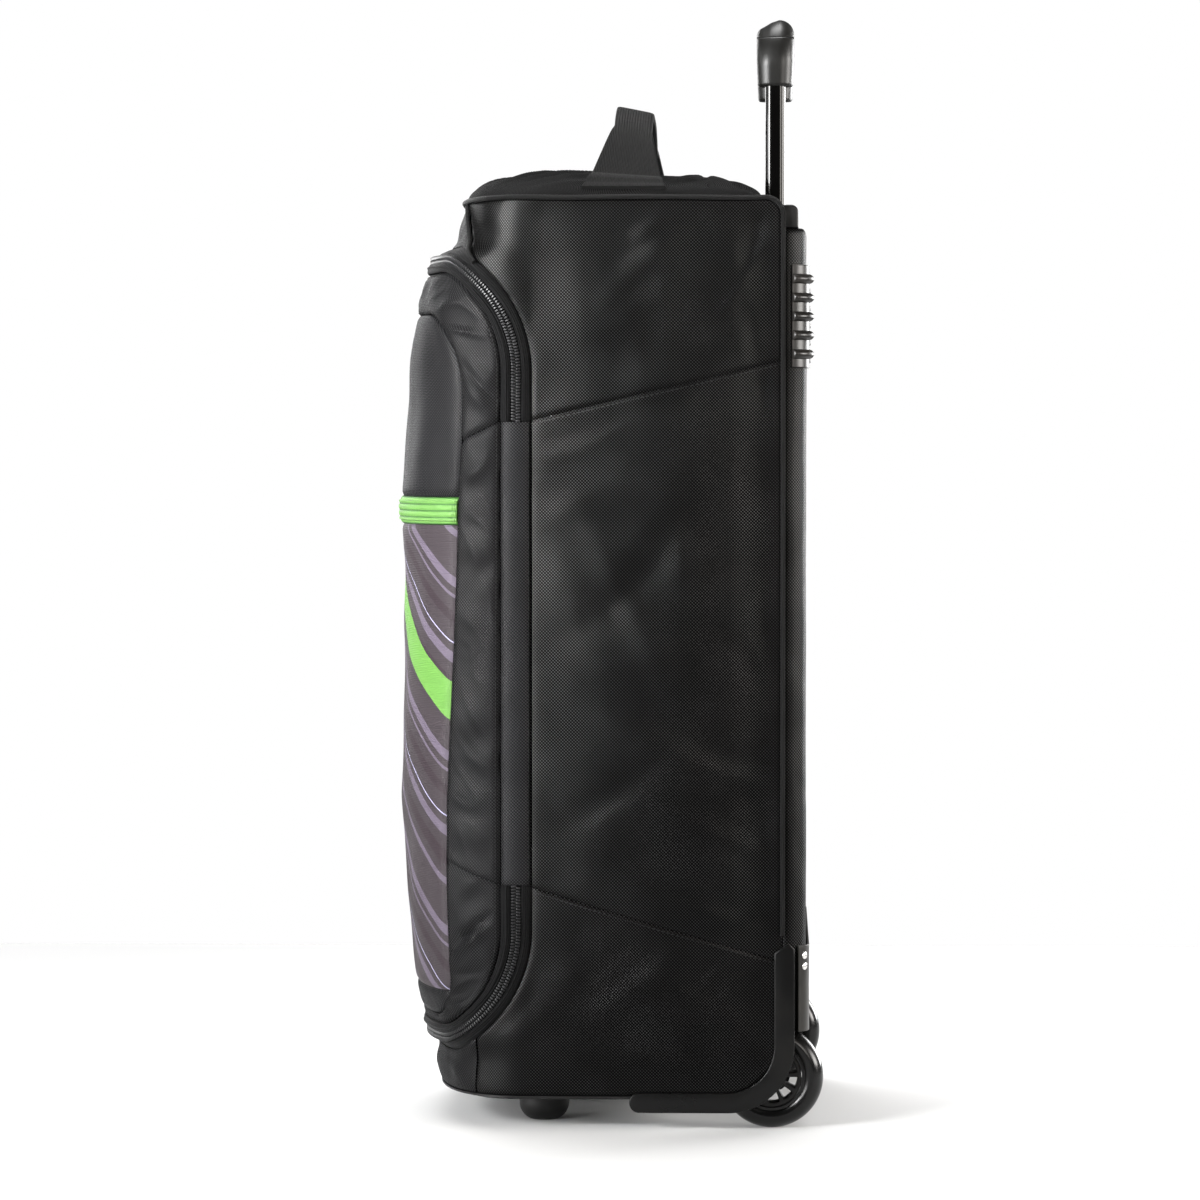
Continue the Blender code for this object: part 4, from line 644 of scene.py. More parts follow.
# Long soft creases of the right side as the photograph shows them, mirrored on the left.
# Columns: forward and height of both ends, half width and height of the fold, in metres.
SIDE_FOLDS = [
    (-0.040, 0.620, -0.150, 0.690, 0.011, 0.0009),
    (-0.150, 0.520, -0.060, 0.400, 0.014, -0.0016),
    (-0.030, 0.505, -0.120, 0.330, 0.012, 0.0014),
    (-0.110, 0.300, -0.020, 0.230, 0.012, -0.0014),
    (-0.060, 0.190, -0.165, 0.160, 0.009, 0.0014),
    (-0.120, 0.110, -0.175, 0.170, 0.006, -0.0018),
    (-0.140, 0.085, -0.185, 0.150, 0.006, 0.0016),
    (-0.050, 0.090, -0.120, 0.140, 0.010, 0.0014),
    (0.030, 0.060, -0.040, 0.120, 0.011, 0.0012),
    (-0.165, 0.660, -0.185, 0.560, 0.006, -0.0014),
    (-0.185, 0.700, -0.150, 0.640, 0.005, 0.0015),
    (-0.127, 0.720, -0.050, 0.647, 0.010, 0.0014),
    (-0.179, 0.722, -0.163, 0.655, 0.008, -0.0014),
    (-0.110, 0.724, -0.080, 0.700, 0.005, 0.0012),
]

bag_twill = twill("polyester twill, foam backed", TWILL_BASE, TWILL_THREAD, TWILL_PITCH, 0.44)

# Sewing thread: smooth and black, so a seam shows as a row of small soft beads.
sewing_thread, tree = new_material("bonded polyester thread")
finish(tree, {"Base Color": "080808", "Roughness": 0.5, "Specular IOR Level": 0.15})

SIDE_PIECES = [
    ("side_lower", bottom_edge, lambda f: seam_line(LOWER_SEAM, f), SIDE_LOW_Z, LOWER_SEAM[0]),
    ("side_middle", lambda f: seam_line(LOWER_SEAM, f), lambda f: seam_line(UPPER_SEAM, f),
     LOWER_SEAM[0], UPPER_SEAM[0]),
    ("side_upper", lambda f: seam_line(UPPER_SEAM, f), top_edge, UPPER_SEAM[0], TOP_Z),
]


def side_panel(name, side, low, high, low_z, high_z, seed):
    """One side panel: rows from its low to its high edge, columns from the rear to the lid.

    Gives the row of stitches beside its high edge, found between the two rows of points there.
    """
    rows = int((high_z - low_z) / GRID_STEP) + 2
    front_z = np.linspace(low_z, high_z, rows)[:, None]
    up = (front_z - low_z) / (high_z - low_z)
    even = np.linspace(0.0, 1.0, SIDE_COLUMNS)
    share = (0.75 * even + 0.25 * 0.5 * (1.0 - np.cos(math.pi * even)))[None, :]
    front = front_limit(front_z) - SEAM
    forward = SIDE_REAR + (front - SIDE_REAR) * share
    bottom = low(forward) + 0.5 * GAP
    top = high(forward) - 0.5 * GAP
    z = bottom + (top - bottom) * up
    point, outward = flank_point(side, forward, z)
    edges = [front - forward, forward - SIDE_REAR, z - bottom, top - z]
    calm = np.clip(np.minimum.reduce(edges) / 0.02, 0.0, 1.0)
    lift = sum(seam_dip(far) for far in edges)
    lift += puckers(edges[0], z, seed) + puckers(edges[2], forward, seed + 1)
    lift += puckers(edges[3], forward, seed + 2) + 0.6 * puckers(edges[1], z, seed + 3)
    lift += calm * SIDE_LOOSE * crumple(forward, z, 0.085, seed + 4)
    lift += calm * SIDE_LOOSE * (wrinkles(forward, z, 0.11, seed + 7) - 0.5)
    lift += folds(forward, z, SIDE_FOLDS) * calm
    outer = point + outward * lift[..., None]
    uv = np.stack([-side * forward, z], axis=-1)
    piece = cloth_wall(name, outer, outward, uv, bag_twill)
    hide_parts(name)
    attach(piece, "bag")
    place = (rows - 1) * (1.0 - STITCH_INSET / (top - bottom)[-1])
    before = np.floor(place).astype(int)
    part = (place - before)[:, None]
    column = np.arange(SIDE_COLUMNS)
    path = outer[before, column] * (1.0 - part) + outer[before + 1, column] * part
    return stitch_row(path, outward[before, column])


for word, side in SIDES.items():
    seam_rows = [side_panel(name + "_" + word, side, low, high, low_z, high_z, 10 * number)
                 for number, (name, low, high, low_z, high_z) in enumerate(SIDE_PIECES)]
    sewn_rows("side_stitches_" + word, seam_rows[:2])


# Front cloth above the lid and below it. The same twill, one piece each, between the lid's
# outer seam and the top piping or the bottom edge. It is pulled tight over the corners, so
# it shines more than the sides and creases near the lid.

STRAIGHT_STEPS = 14
BEND_STEPS = 44
LEVEL_STEPS = 64
FRONT_ROWS = 22


def arch(side, cut_z, end_z, corner):
    """A rounded loop on the front cloth, right side to left: straight, quarter round, level."""
    way = math.copysign(1.0, end_z - cut_z)
    rise = np.linspace(0.0, 1.0, STRAIGHT_STEPS + 1)[:-1]
    angle = quarter(BEND_STEPS)
    level = np.linspace(0.0, 1.0, LEVEL_STEPS)[1:]
    along = np.concatenate([
        np.full(STRAIGHT_STEPS, side),
        side - corner + corner * np.cos(angle),
        (side - corner) * (1.0 - level),
    ])
    z = np.concatenate([
        cut_z + (end_z - way * corner - cut_z) * rise,
        end_z - way * corner * (1.0 - np.sin(angle)),
        np.full(len(level), end_z),
    ])
    return (np.concatenate([along, -along[-2::-1]]), np.concatenate([z, z[-2::-1]]))


def between(outer, inner, shares):
    """Front places between two loops: straight lines from each outer place to its inner one."""
    (c0, z0), (c1, z1) = outer, inner
    shares = np.asarray(shares)[None, :]
    along = c0[:, None] + (c1 - c0)[:, None] * shares
    z = z0[:, None] + (z1 - z0)[:, None] * shares
    return along, z


def strip_piece(name, along, z, lift, material, thickness=CLOTH, uv=None):
    """A cloth wall on the front from its places, lifted, that stands for the node of its name."""
    point, outward = front_point(along, z)
    outer = point + outward * np.asarray(lift)[..., None]
    if uv is None:
        uv = np.stack([along, z], axis=-1)
    piece = cloth_wall(name, outer, outward, uv, material, thickness)
    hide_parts(name)
    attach(piece, "bag")
    return piece


def edge_stitches(name, along, z, lift):
    """A row of stitches beside each long edge of a strip of the front."""
    point, outward = front_point(along, z)
    point = point + outward * lift[..., None]
    sewn_rows(name, [stitch_row(point[:, column], outward[:, column])
                     for column in (STITCH_COLUMN, -1 - STITCH_COLUMN)])


# Creases of the front cloth. Columns as in SIDE_FOLDS, with the distance from the middle
# as the first way.
FRONT_FOLDS = [
    (0.10, 0.700, 0.16, 0.728, 0.006, 0.0012),
    (-0.10, 0.700, -0.16, 0.728, 0.006, 0.0012),
    (0.02, 0.704, 0.10, 0.722, 0.007, 0.0010),
    (-0.02, 0.704, -0.09, 0.724, 0.007, 0.0010),
    (0.12, 0.050, 0.19, 0.036, 0.006, 0.0012),
    (-0.12, 0.050, -0.19, 0.036, 0.006, 0.0012),
    (0.00, 0.052, 0.09, 0.034, 0.007, 0.0010),
]

# Taut and a little polished: it catches a broad dull light where it turns the corner.
front_twill = twill("polyester twill, pulled tight", "070707", "161617", TWILL_PITCH, 0.48,
                    shine=0.26)

for name, end_z, edge_z, edge_forward, way, foot_z in (
    ("front_top_panel", LID_TOP_Z, TOP_Z, FRONT_PIPING_TOP, 1.0, TOP_FOOT_Z),
    ("front_low_panel", LID_BOTTOM_Z, SIDE_LOW_Z, FRONT_SEAM_LOW, -1.0, LOW_FOOT_Z),
):
    along, z = arch(HALF_LENGTH, 0.5 * (LID_TOP_Z + LID_BOTTOM_Z), end_z, LID_CORNER)
    kept = (z - foot_z) * way >= -1e-9
    along, z = along[kept], z[kept]
    half = along.max()
    narrower = 1.0 - 2.0 * SEAM / half
    edge_half = HALF_LENGTH - edge_forward - SEAM
    loop = (along * narrower, z + way * SEAM)
    edge = (along * narrower * edge_half / (half * narrower),
            np.full_like(z, edge_z - way * 0.5 * GAP))
    shares = np.linspace(0.0, 1.0, FRONT_ROWS)
    along, z = between(loop, edge, shares)
    across, down = rows_length(front_point(along, z)[0])
    far_loop, far_edge = across, across[:, -1:] - across
    far_side = np.minimum(down, down[-1:] - down)
    lift = seam_dip(far_loop) + seam_dip(far_edge) + seam_dip(far_side)
    lift += puckers(far_edge, along, 31) + puckers(far_loop, along, 33)
    calm = np.clip(np.minimum.reduce([far_loop, far_edge, far_side]) / 0.012, 0.0, 1.0)
    lift += calm * 0.0009 * crumple(along, z, 0.05, 35)
    lift += calm * folds(along, z, FRONT_FOLDS)
    strip_piece(name, along, z, lift, front_twill)


# Lid zips. A black tape band runs up round the top of the lid and another round its foot,
# each with two rows of moulded nylon teeth, sewn to the side cloth outside and to the lid
# inside. The inner edge of the tape is rolled into a thin bright cord. Between the two zips
# a plain strip of twill covers the join on each side.

BAND_SIDE = 0.025
BAND_END = 0.020
BAND_INNER_CORNER = 0.078
ZIP_TOP_CUT_Z = 0.558
ZIP_LOW_CUT_Z = 0.193
TAPE_ROLL = 0.0011
TOOTH_PITCH = 0.0024
TOOTH_LENGTH = 0.0036
TOOTH_RADIUS = 0.00095
TOOTH_SINK = 0.0010
TOOTH_ASIDE = 0.52
TOOTH_LEAN = 0.12
CHAIN_TROUGH = 0.0018
TAPE_LIFT = 0.0012
PLACKET_ROWS = 150
PLACKET_COLUMNS = 24


def ribbed_tape(name, base, shade, pitch, rough, level):
    """Woven zip tape or webbing: ribs along its length as a sine across, with a finer one along.

    To the eye it is matt, with a fine even ladder of ribs and a breath of lint.
    """
    material, tree = new_material(name)
    place, u, v = cloth_map(tree)
    turns = 2.0 * math.pi / pitch
    rib = sine_of(tree, u, turns)
    weft = sine_of(tree, v, 1.4 * turns)
    weave = add(tree, "Math", {"operation": "MULTIPLY_ADD", 1: 0.6}, {0: weft, 2: rib})
    share = add(tree, "MapRange", {"From Min": -1.6, "From Max": 1.6}, {"Value": weave})
    lint = add(tree, "TexNoise", {"Scale": 90.0, "Detail": 3.0}, {"Vector": place})
    tone = add(tree, "Mix", {"data_type": "RGBA", 6: base, 7: shade}, {0: share})
    gloss = add(tree, "MapRange", {"To Min": rough - 0.08, "To Max": rough + 0.08},
                {"Value": lint})
    finish(tree, {"IOR": 1.5, "Specular IOR Level": level, "Sheen Weight": 0.02},
           {"Base Color": tone, "Roughness": gloss}, (weave, 0.6, 0.0003))
    return material


def moulded(name, base, worn, rough, grain_mm, depth_mm, level=0.22):
    """Moulded plastic, rubber or paint: a fine pebbled grain from a cell noise.

    Slow patches are paler and duller, as hands and the road wear it. To the eye it is an even
    skin whose highlight is broken by the grain.
    """
    material, tree = new_material(name)
    place = add(tree, "TexCoord").outputs["Object"]
    grain = add(tree, "TexVoronoi", {"Scale": 1000.0 / grain_mm}, {"Vector": place})
    patch, wear = patches(tree, place, 24.0, 5.0, 0.42, 0.72, 0.6)
    tone = add(tree, "Mix", {"data_type": "RGBA", 6: base, 7: worn}, {0: wear})
    gloss = add(tree, "MapRange", {"To Min": rough - 0.05, "To Max": rough + 0.09},
                {"Value": patch})
    finish(tree, {"IOR": 1.5, "Specular IOR Level": level},
           {"Base Color": tone, "Roughness": gloss}, (grain, 0.35, depth_mm / 1000.0))
    return material


# The tape is the deepest black of the bag, so the polished teeth stand out on it.
zip_tape = ribbed_tape("woven polyester zip tape", "030303", "0a0a0b", 0.0016, 0.58, 0.06)
zip_nylon = moulded("moulded black nylon, polished", "121213", "202021", 0.32, 0.6, 0.02,
                    level=0.32)


def zip_teeth(path, outward):
    """Places and frames of a zip's two rows of teeth, half a pitch out of step."""
    spots, onward, across, out = along_path(path, outward, TOOTH_PITCH)
    rows = []
    for row in (-1.0, 1.0):
        aside = across * (row * TOOTH_ASIDE * TOOTH_LENGTH)
        lean = unit(across + onward * (TOOTH_LEAN * row))
        rows.append((spots + aside + onward * (row * 0.25 * TOOTH_PITCH),
                     np.stack([lean, np.cross(lean, out), out], axis=1)))
    return [np.concatenate(part) for part in zip(*rows)]


OUTER_SIDE = HALF_LENGTH
INNER_SIDE = HALF_LENGTH - BAND_SIDE
BAND_SHARES = np.unique(np.concatenate([np.linspace(0.0, 1.0, 31), np.linspace(0.32, 0.68, 25)]))

for word, cut_z, end_z, way in (("upper", ZIP_TOP_CUT_Z + 0.5 * GAP, LID_TOP_Z, 1.0),
                                ("lower", ZIP_LOW_CUT_Z - 0.5 * GAP, LID_BOTTOM_Z, -1.0)):
    outer = arch(OUTER_SIDE, cut_z, end_z, LID_CORNER)
    inner = arch(INNER_SIDE, cut_z, end_z - way * BAND_END, BAND_INNER_CORNER)
    along, z = between(outer, inner, BAND_SHARES)
    across, down = rows_length(front_point(along, z)[0])
    width = across[:, -1:]
    share = across / width
    trough = np.exp(-((share - 0.5) / 0.17) ** 6)
    roll = np.exp(-((share - 0.80) / 0.035) ** 2) + 0.6 * np.exp(-((share - 0.24) / 0.04) ** 2)
    lift = TAPE_LIFT - CHAIN_TROUGH * trough + TAPE_ROLL * roll
    lift += seam_dip(across, 0.0034, 0.0028) + seam_dip(width - across, 0.0022, 0.0016)
    lift += seam_dip(down, 0.0016, 0.0015) + seam_dip(down[-1:] - down, 0.0016, 0.0015)
    lift += 0.0006 * crumple(down, across, 0.05, 51) * (1.0 - trough)
    uv = np.stack([across, down], axis=-1)
    strip_piece("zip_band_" + word, along, z, lift, zip_tape, uv=uv)

    middle_along, middle_z = between(outer, inner, [0.5])
    spot, outward = front_point(middle_along[:, 0], middle_z[:, 0])
    path = spot + outward * (TAPE_LIFT - CHAIN_TROUGH + TOOTH_RADIUS + TOOTH_SINK)
    spots, frames = zip_teeth(path, outward)
    teeth = scatter("zip_chain_" + word, bead_shape(), spots, frames,
                    (0.5 * TOOTH_LENGTH, TOOTH_RADIUS, TOOTH_RADIUS), zip_nylon)
    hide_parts("zip_chain_" + word)
    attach(teeth, "bag")

# Soft and thick: the palest twill of the bag, with hardly a glint.
lid_twill = twill("polyester twill, soft lid", "0d0d0e", "1f1f20", TWILL_PITCH, 0.48,
                  shine=0.24)

for word, side in SIDES.items():
    rows = np.linspace(0.0, 1.0, PLACKET_ROWS)[:, None]
    low, high = ZIP_LOW_CUT_Z + 0.5 * GAP, ZIP_TOP_CUT_Z - 0.5 * GAP
    z = low + (high - low) * rows + np.zeros((1, PLACKET_COLUMNS))
    share = np.linspace(0.0, 1.0, PLACKET_COLUMNS)[None, :]
    along = side * (INNER_SIDE + (OUTER_SIDE - INNER_SIDE) * share)
    across = (OUTER_SIDE - np.abs(along)) + np.zeros_like(z)
    far_end = np.minimum(z - low, high - z)
    lift = 0.0016 * np.sin(math.pi * across / BAND_SIDE) ** 0.7
    lift += seam_dip(across, 0.0040, 0.0030) + seam_dip(BAND_SIDE - across, 0.0026, 0.0018)
    lift += seam_dip(far_end, 0.0012, 0.0015)
    lift += 0.0007 * crumple(across, z, 0.07, 61) + 0.4 * puckers(BAND_SIDE - across, z, 63)
    along = along + np.zeros_like(z)
    strip_piece("zip_placket_" + word, along, z, lift, lid_twill)
    edge_stitches("placket_stitches_" + word, along, z, lift)


# Lid gusset. A loose strip of twill between the zip and the lid's front panels, in four
# lengths. It has no foam, so it sags between its seams and folds where the lid turns, most
# at the lower corners.

INNER_TOP_CUT_Z = 0.543
INNER_LOW_CUT_Z = 0.211
PANEL_EDGE_TOP = 0.060
PANEL_EDGE_LOW = 0.078
PANEL_TOP_Z = 0.6437
PANEL_TOP_CORNER = 0.066
PANEL_LOW_Z = 0.086
PANEL_LOW_CORNER = 0.030
FOLD_HEIGHT = 0.0024
GUSSET_COLUMNS = 30
GUSSET_ROWS = 150
GUSSET_LOOSE = 0.0009
CORNER_ROW_SHARES = (0.0, 2.0 / 24.0, 8.0 / 24.0, 12.0 / 24.0)

# Folds across the gusset. Columns: place along the loop from end to end, half length along
# it, height as a share of FOLD_HEIGHT.
UPPER_FOLDS = [
    (0.07, 0.035, 0.8), (0.17, 0.030, -0.7), (0.25, 0.030, 1.0), (0.34, 0.040, -0.6),
    (0.50, 0.060, 0.5), (0.66, 0.040, -0.7), (0.76, 0.030, 0.9), (0.84, 0.030, -0.6),
    (0.93, 0.035, 0.8),
]
LOWER_FOLDS = [
    (0.08, 0.040, 0.7), (0.18, 0.030, -0.8), (0.27, 0.035, 1.0), (0.38, 0.050, -0.5),
    (0.50, 0.060, 0.4), (0.62, 0.050, -0.5), (0.73, 0.035, 1.0), (0.82, 0.030, -0.8),
    (0.92, 0.040, 0.7),
]

# Creases where the photograph shows them. Columns: distance past the side seam and height
# of both ends, half width and height of the fold.
GUSSET_CREASES = [
    (0.0800, 0.6330, 0.0320, 0.6240, 0.0024, 0.0025),
    (0.0660, 0.6080, 0.0230, 0.5720, 0.0032, -0.0028),
    (0.0600, 0.5900, 0.0280, 0.5600, 0.0038, 0.0018),
    (0.0900, 0.6500, 0.0500, 0.6560, 0.0040, 0.0014),
    (0.0300, 0.1710, 0.0960, 0.1240, 0.0034, -0.0044),
    (0.0350, 0.1590, 0.0860, 0.1220, 0.0030, 0.0036),
    (0.1060, 0.1190, 0.0380, 0.1230, 0.0034, -0.0021),
    (0.1050, 0.1080, 0.0520, 0.0920, 0.0048, 0.0020),
    (0.0420, 0.2000, 0.0800, 0.1700, 0.0054, 0.0018),
    (0.0330, 0.2900, 0.0700, 0.3300, 0.0070, 0.0012),
    (0.0330, 0.4500, 0.0620, 0.4100, 0.0064, -0.0012),
    (0.0300, 0.5300, 0.0580, 0.5100, 0.0056, 0.0014),
]


def panel_edge(z):
    """Distance on the cloth from the side seam to the edge of the lid's front panels."""
    return np.interp(z, [INNER_LOW_CUT_Z, INNER_TOP_CUT_Z], [PANEL_EDGE_LOW, PANEL_EDGE_TOP])


def fold_waves(count, table):
    """Heights along a loop from a fold table, its places matched to the solids' samples."""
    half = (count + 1) // 2
    marks = [0, STRAIGHT_STEPS, STRAIGHT_STEPS + BEND_STEPS - 1, half - 1]
    right = np.interp(np.arange(half), marks, CORNER_ROW_SHARES)
    place = np.concatenate([right, 1.0 - right[-2::-1]])
    total = np.zeros(count)
    for middle, half_length, height in table:
        total += FOLD_HEIGHT * height * np.exp(-((place - middle) / half_length) ** 2)
    ends = np.clip(np.minimum(place, 1.0 - place) / 0.04, 0.0, 1.0)
    return total * ends


# Thin and slack: greyer than the side cloth and nearly without shine.
gusset_twill = twill("polyester twill, loose gusset", "090909", "1a1a1b", TWILL_PITCH, 0.50,
                     shine=0.22)
GUSSET_OUTER = HALF_LENGTH - BAND_SIDE - SEAM


def gusset_piece(word, along, z, seed, table=()):
    """A length of gusset: loose wrinkles, the photograph's creases, seam dips, folds, stitches."""
    across, down = rows_length(front_point(along, z)[0])
    width = across[:, -1:]
    share = across / width
    calm = np.sin(math.pi * share) ** 0.7
    lift = calm * GUSSET_LOOSE * crumple(along, z, 0.035, seed)
    lift += calm * GUSSET_LOOSE * (wrinkles(across, down, 0.040, seed + 3) - 0.5)
    lift += calm * folds(HALF_LENGTH - np.abs(along), z, GUSSET_CREASES)
    lift += seam_dip(across, 0.0030, 0.0026) + seam_dip(width - across, 0.0026, 0.0022)
    lift += puckers(width - across, down, seed + 7) + 0.7 * puckers(across, down, seed + 8)
    if table:
        lift += fold_waves(len(along), table)[:, None] * np.sin(math.pi * across / width)
    lift += seam_dip(np.minimum(down, down[-1:] - down), 0.0018, 0.0020)
    strip_piece("lid_gusset_" + word, along, z, lift, gusset_twill)
    edge_stitches("gusset_stitches_" + word, along, z, lift)


for word, cut_z, inner_cut_z, end_z, panel_z, corner, table in (
    ("upper", ZIP_TOP_CUT_Z, INNER_TOP_CUT_Z, LID_TOP_Z, PANEL_TOP_Z, PANEL_TOP_CORNER,
     UPPER_FOLDS),
    ("lower", ZIP_LOW_CUT_Z, INNER_LOW_CUT_Z, LID_BOTTOM_Z, PANEL_LOW_Z, PANEL_LOW_CORNER,
     LOWER_FOLDS),
):
    way = math.copysign(1.0, end_z - cut_z)
    near = way * 0.5 * GAP
    outer = arch(GUSSET_OUTER, cut_z + near, end_z - way * (BAND_END + SEAM), BAND_INNER_CORNER)
    inner_side = HALF_LENGTH - float(panel_edge(inner_cut_z)) + SEAM
    inner = arch(inner_side, inner_cut_z + near, panel_z + way * SEAM, corner + SEAM)
    along, z = between(outer, inner, np.linspace(0.0, 1.0, GUSSET_COLUMNS))
    gusset_piece(word, along, z, 71, table)

for word, side in SIDES.items():
    share = np.linspace(0.0, 1.0, GUSSET_COLUMNS)[None, :]
    up = np.linspace(0.0, 1.0, GUSSET_ROWS)[:, None]
    low = ZIP_LOW_CUT_Z + (INNER_LOW_CUT_Z - ZIP_LOW_CUT_Z) * share + 0.5 * GAP
    high = ZIP_TOP_CUT_Z + (INNER_TOP_CUT_Z - ZIP_TOP_CUT_Z) * share - 0.5 * GAP
    z = low + (high - low) * up
    edge = HALF_LENGTH - panel_edge(z) + SEAM
    gusset_piece(word, side * (GUSSET_OUTER + (edge - GUSSET_OUTER) * share), z, 81)


# Lid front: a plain top, a lime pocket zip, a printed pocket and a plain chin. The cloth is
# twill on thick foam, so each piece swells between its seams. The zip has a woven tape with
# the coil behind it, which shows as two ridges and three grooves.

POCKET_ZIP_LOW = 0.4765
POCKET_ZIP_HIGH = 0.4985
PRINT_LOW_Z = 0.1065
PANEL_COLUMNS = 150
PANEL_SWELL = -0.0012
LIME = "4b7233"
# A darker green: painted shade in the lime tape's grooves, and also the colour of its soil patches.
LIME_SOIL_AND_GROOVE_SHADE = "22491a"
PRINT_BASE = "2c272a"
PRINT_MARK_X = 0.14
PRINT_MARK_Z = 0.36
PRINT_MARK_SHARE = 0.11
PRINT_MAUVE = "4a434e"
PRINT_DEEP = "261f23"
PRINT_PALE = "84829a"
PRINT_SLANT_DEG = 34.0
PRINT_PERIOD = 0.118
ZIP_GROOVE = 0.0052

# Bars of the print after its first. Columns: place in the period, ink.
PRINT_BARS = [
    (0.17, PRINT_BASE), (0.24, PRINT_DEEP), (0.33, PRINT_BASE), (0.41, PRINT_MAUVE),
    (0.47, PRINT_BASE), (0.52, PRINT_PALE), (0.531, PRINT_BASE), (0.64, PRINT_DEEP),
    (0.70, PRINT_BASE), (0.78, PRINT_MAUVE), (0.80, PRINT_BASE), (0.84, PRINT_MAUVE),
    (0.90, PRINT_BASE),
]


def panel_half(z):
    """Half width of the lid's front at a height: straight sides with round corners."""
    low_side = HALF_LENGTH - PANEL_EDGE_LOW
    high_side = HALF_LENGTH - PANEL_EDGE_TOP
    under = np.clip(PANEL_LOW_Z + PANEL_LOW_CORNER - z, 0.0, PANEL_LOW_CORNER)
    over = np.clip(z - PANEL_TOP_Z + PANEL_TOP_CORNER, 0.0, PANEL_TOP_CORNER)
    low = low_side - PANEL_LOW_CORNER + np.sqrt(PANEL_LOW_CORNER ** 2 - under ** 2)
    high = high_side - PANEL_TOP_CORNER + np.sqrt(PANEL_TOP_CORNER ** 2 - over ** 2)
    middle = HALF_LENGTH - panel_edge(z)
    return np.where(z < INNER_LOW_CUT_Z, low, np.where(z > INNER_TOP_CUT_Z, high, middle))


def lime_tape(name):
    """Woven lime tape: fine cross ribs, and painted shade that darkens it along its grooves,
    read from the map's V.

    To the eye it is the one bright colour of the bag, matt, with patches of soil and painted
    shade in its grooves.
    """
    material, tree = new_material(name)
    place, u, v = cloth_map(tree)
    rib = sine_of(tree, u, 2.0 * math.pi / 0.0012)
    groove = sine_of(tree, v, 2.0 * math.pi / ZIP_GROOVE, "COSINE")
    # Painted shade: the cosine peaks over the three grooves of the tape's ridged shape, and there
    # the lime is darkened towards the darker green.
    deep = add(tree, "MapRange", {"From Min": 0.45, "From Max": 0.95, "To Max": 0.9},
               {"Value": groove})
    _, soil = patches(tree, place, 30.0, 4.0, 0.5, 0.8, 0.25)
    tone = add(tree, "Mix", {"data_type": "RGBA", 6: LIME, 7: LIME_SOIL_AND_GROOVE_SHADE}, {0: deep})
    used = add(tree, "Mix", {"data_type": "RGBA", 7: LIME_SOIL_AND_GROOVE_SHADE}, {0: soil, 6: tone})
    gloss = add(tree, "MapRange", {"To Min": 0.62, "To Max": 0.48}, {"Value": rib})
    finish(tree, {"IOR": 1.5, "Specular IOR Level": 0.3},
           {"Base Color": used, "Roughness": gloss}, (rib, 0.5, 0.0002))
    return material


def printed_cloth(name):
    """Printed twill: slanting bars that meet in a point at mid front, in mauve, pale and lime ink.

    The bars follow height and distance from the middle added together, and repeat. A colour
    ramp holds their widths. The print has worn patches where the cloth shows through, and to
    the eye it is flat and dull beside the lime mark.
    """
    material, tree = new_material(name)
    place, u, v = cloth_map(tree)
    slant = math.radians(PRINT_SLANT_DEG)
    spread = add(tree, "Math", {"operation": "ABSOLUTE"}, {0: u})
    level = add(tree, "Math", {"operation": "MULTIPLY", 1: math.sin(slant) / PRINT_PERIOD},
                {0: spread})
    rise = add(tree, "Math", {"operation": "MULTIPLY_ADD", 1: math.cos(slant) / PRINT_PERIOD},
               {0: v, 2: level})
    turn = add(tree, "Math", {"operation": "FRACT"}, {0: rise})
    bars = add(tree, "ValToRGB", links={"Fac": turn})
    ramp = bars.color_ramp
    ramp.interpolation = "CONSTANT"
    ramp.elements[0].color = linear(PRINT_BASE)
    ramp.elements[1].position = 0.13
    ramp.elements[1].color = linear(PRINT_MAUVE)
    for at, ink in PRINT_BARS:
        ramp.elements.new(at).color = linear(ink)
    thread = sine_of(tree, v, 2.0 * math.pi / 0.0014)
    fade, worn = patches(tree, place, 26.0, 5.0, 0.55, 0.8, 0.4)
    mark_at = (PRINT_MARK_Z * math.cos(slant) + PRINT_MARK_X * math.sin(slant)) / PRINT_PERIOD
    marked = add(tree, "Math", {"operation": "COMPARE", 1: mark_at, 2: PRINT_MARK_SHARE},
                 {0: rise})
    inked = add(tree, "Mix", {"data_type": "RGBA", 7: LIME}, {0: marked, 6: bars})
    tone = add(tree, "Mix", {"data_type": "RGBA", 7: PRINT_DEEP}, {0: worn, 6: inked})
    gloss = add(tree, "MapRange", {"To Min": 0.50, "To Max": 0.66}, {"Value": fade})
    finish(tree, {"IOR": 1.5, "Specular IOR Level": 0.15},
           {"Base Color": tone, "Roughness": gloss}, (thread, 0.4, 0.0002))
    return material


lime = lime_tape("woven lime zip tape")
print_cloth = printed_cloth("printed polyester twill")

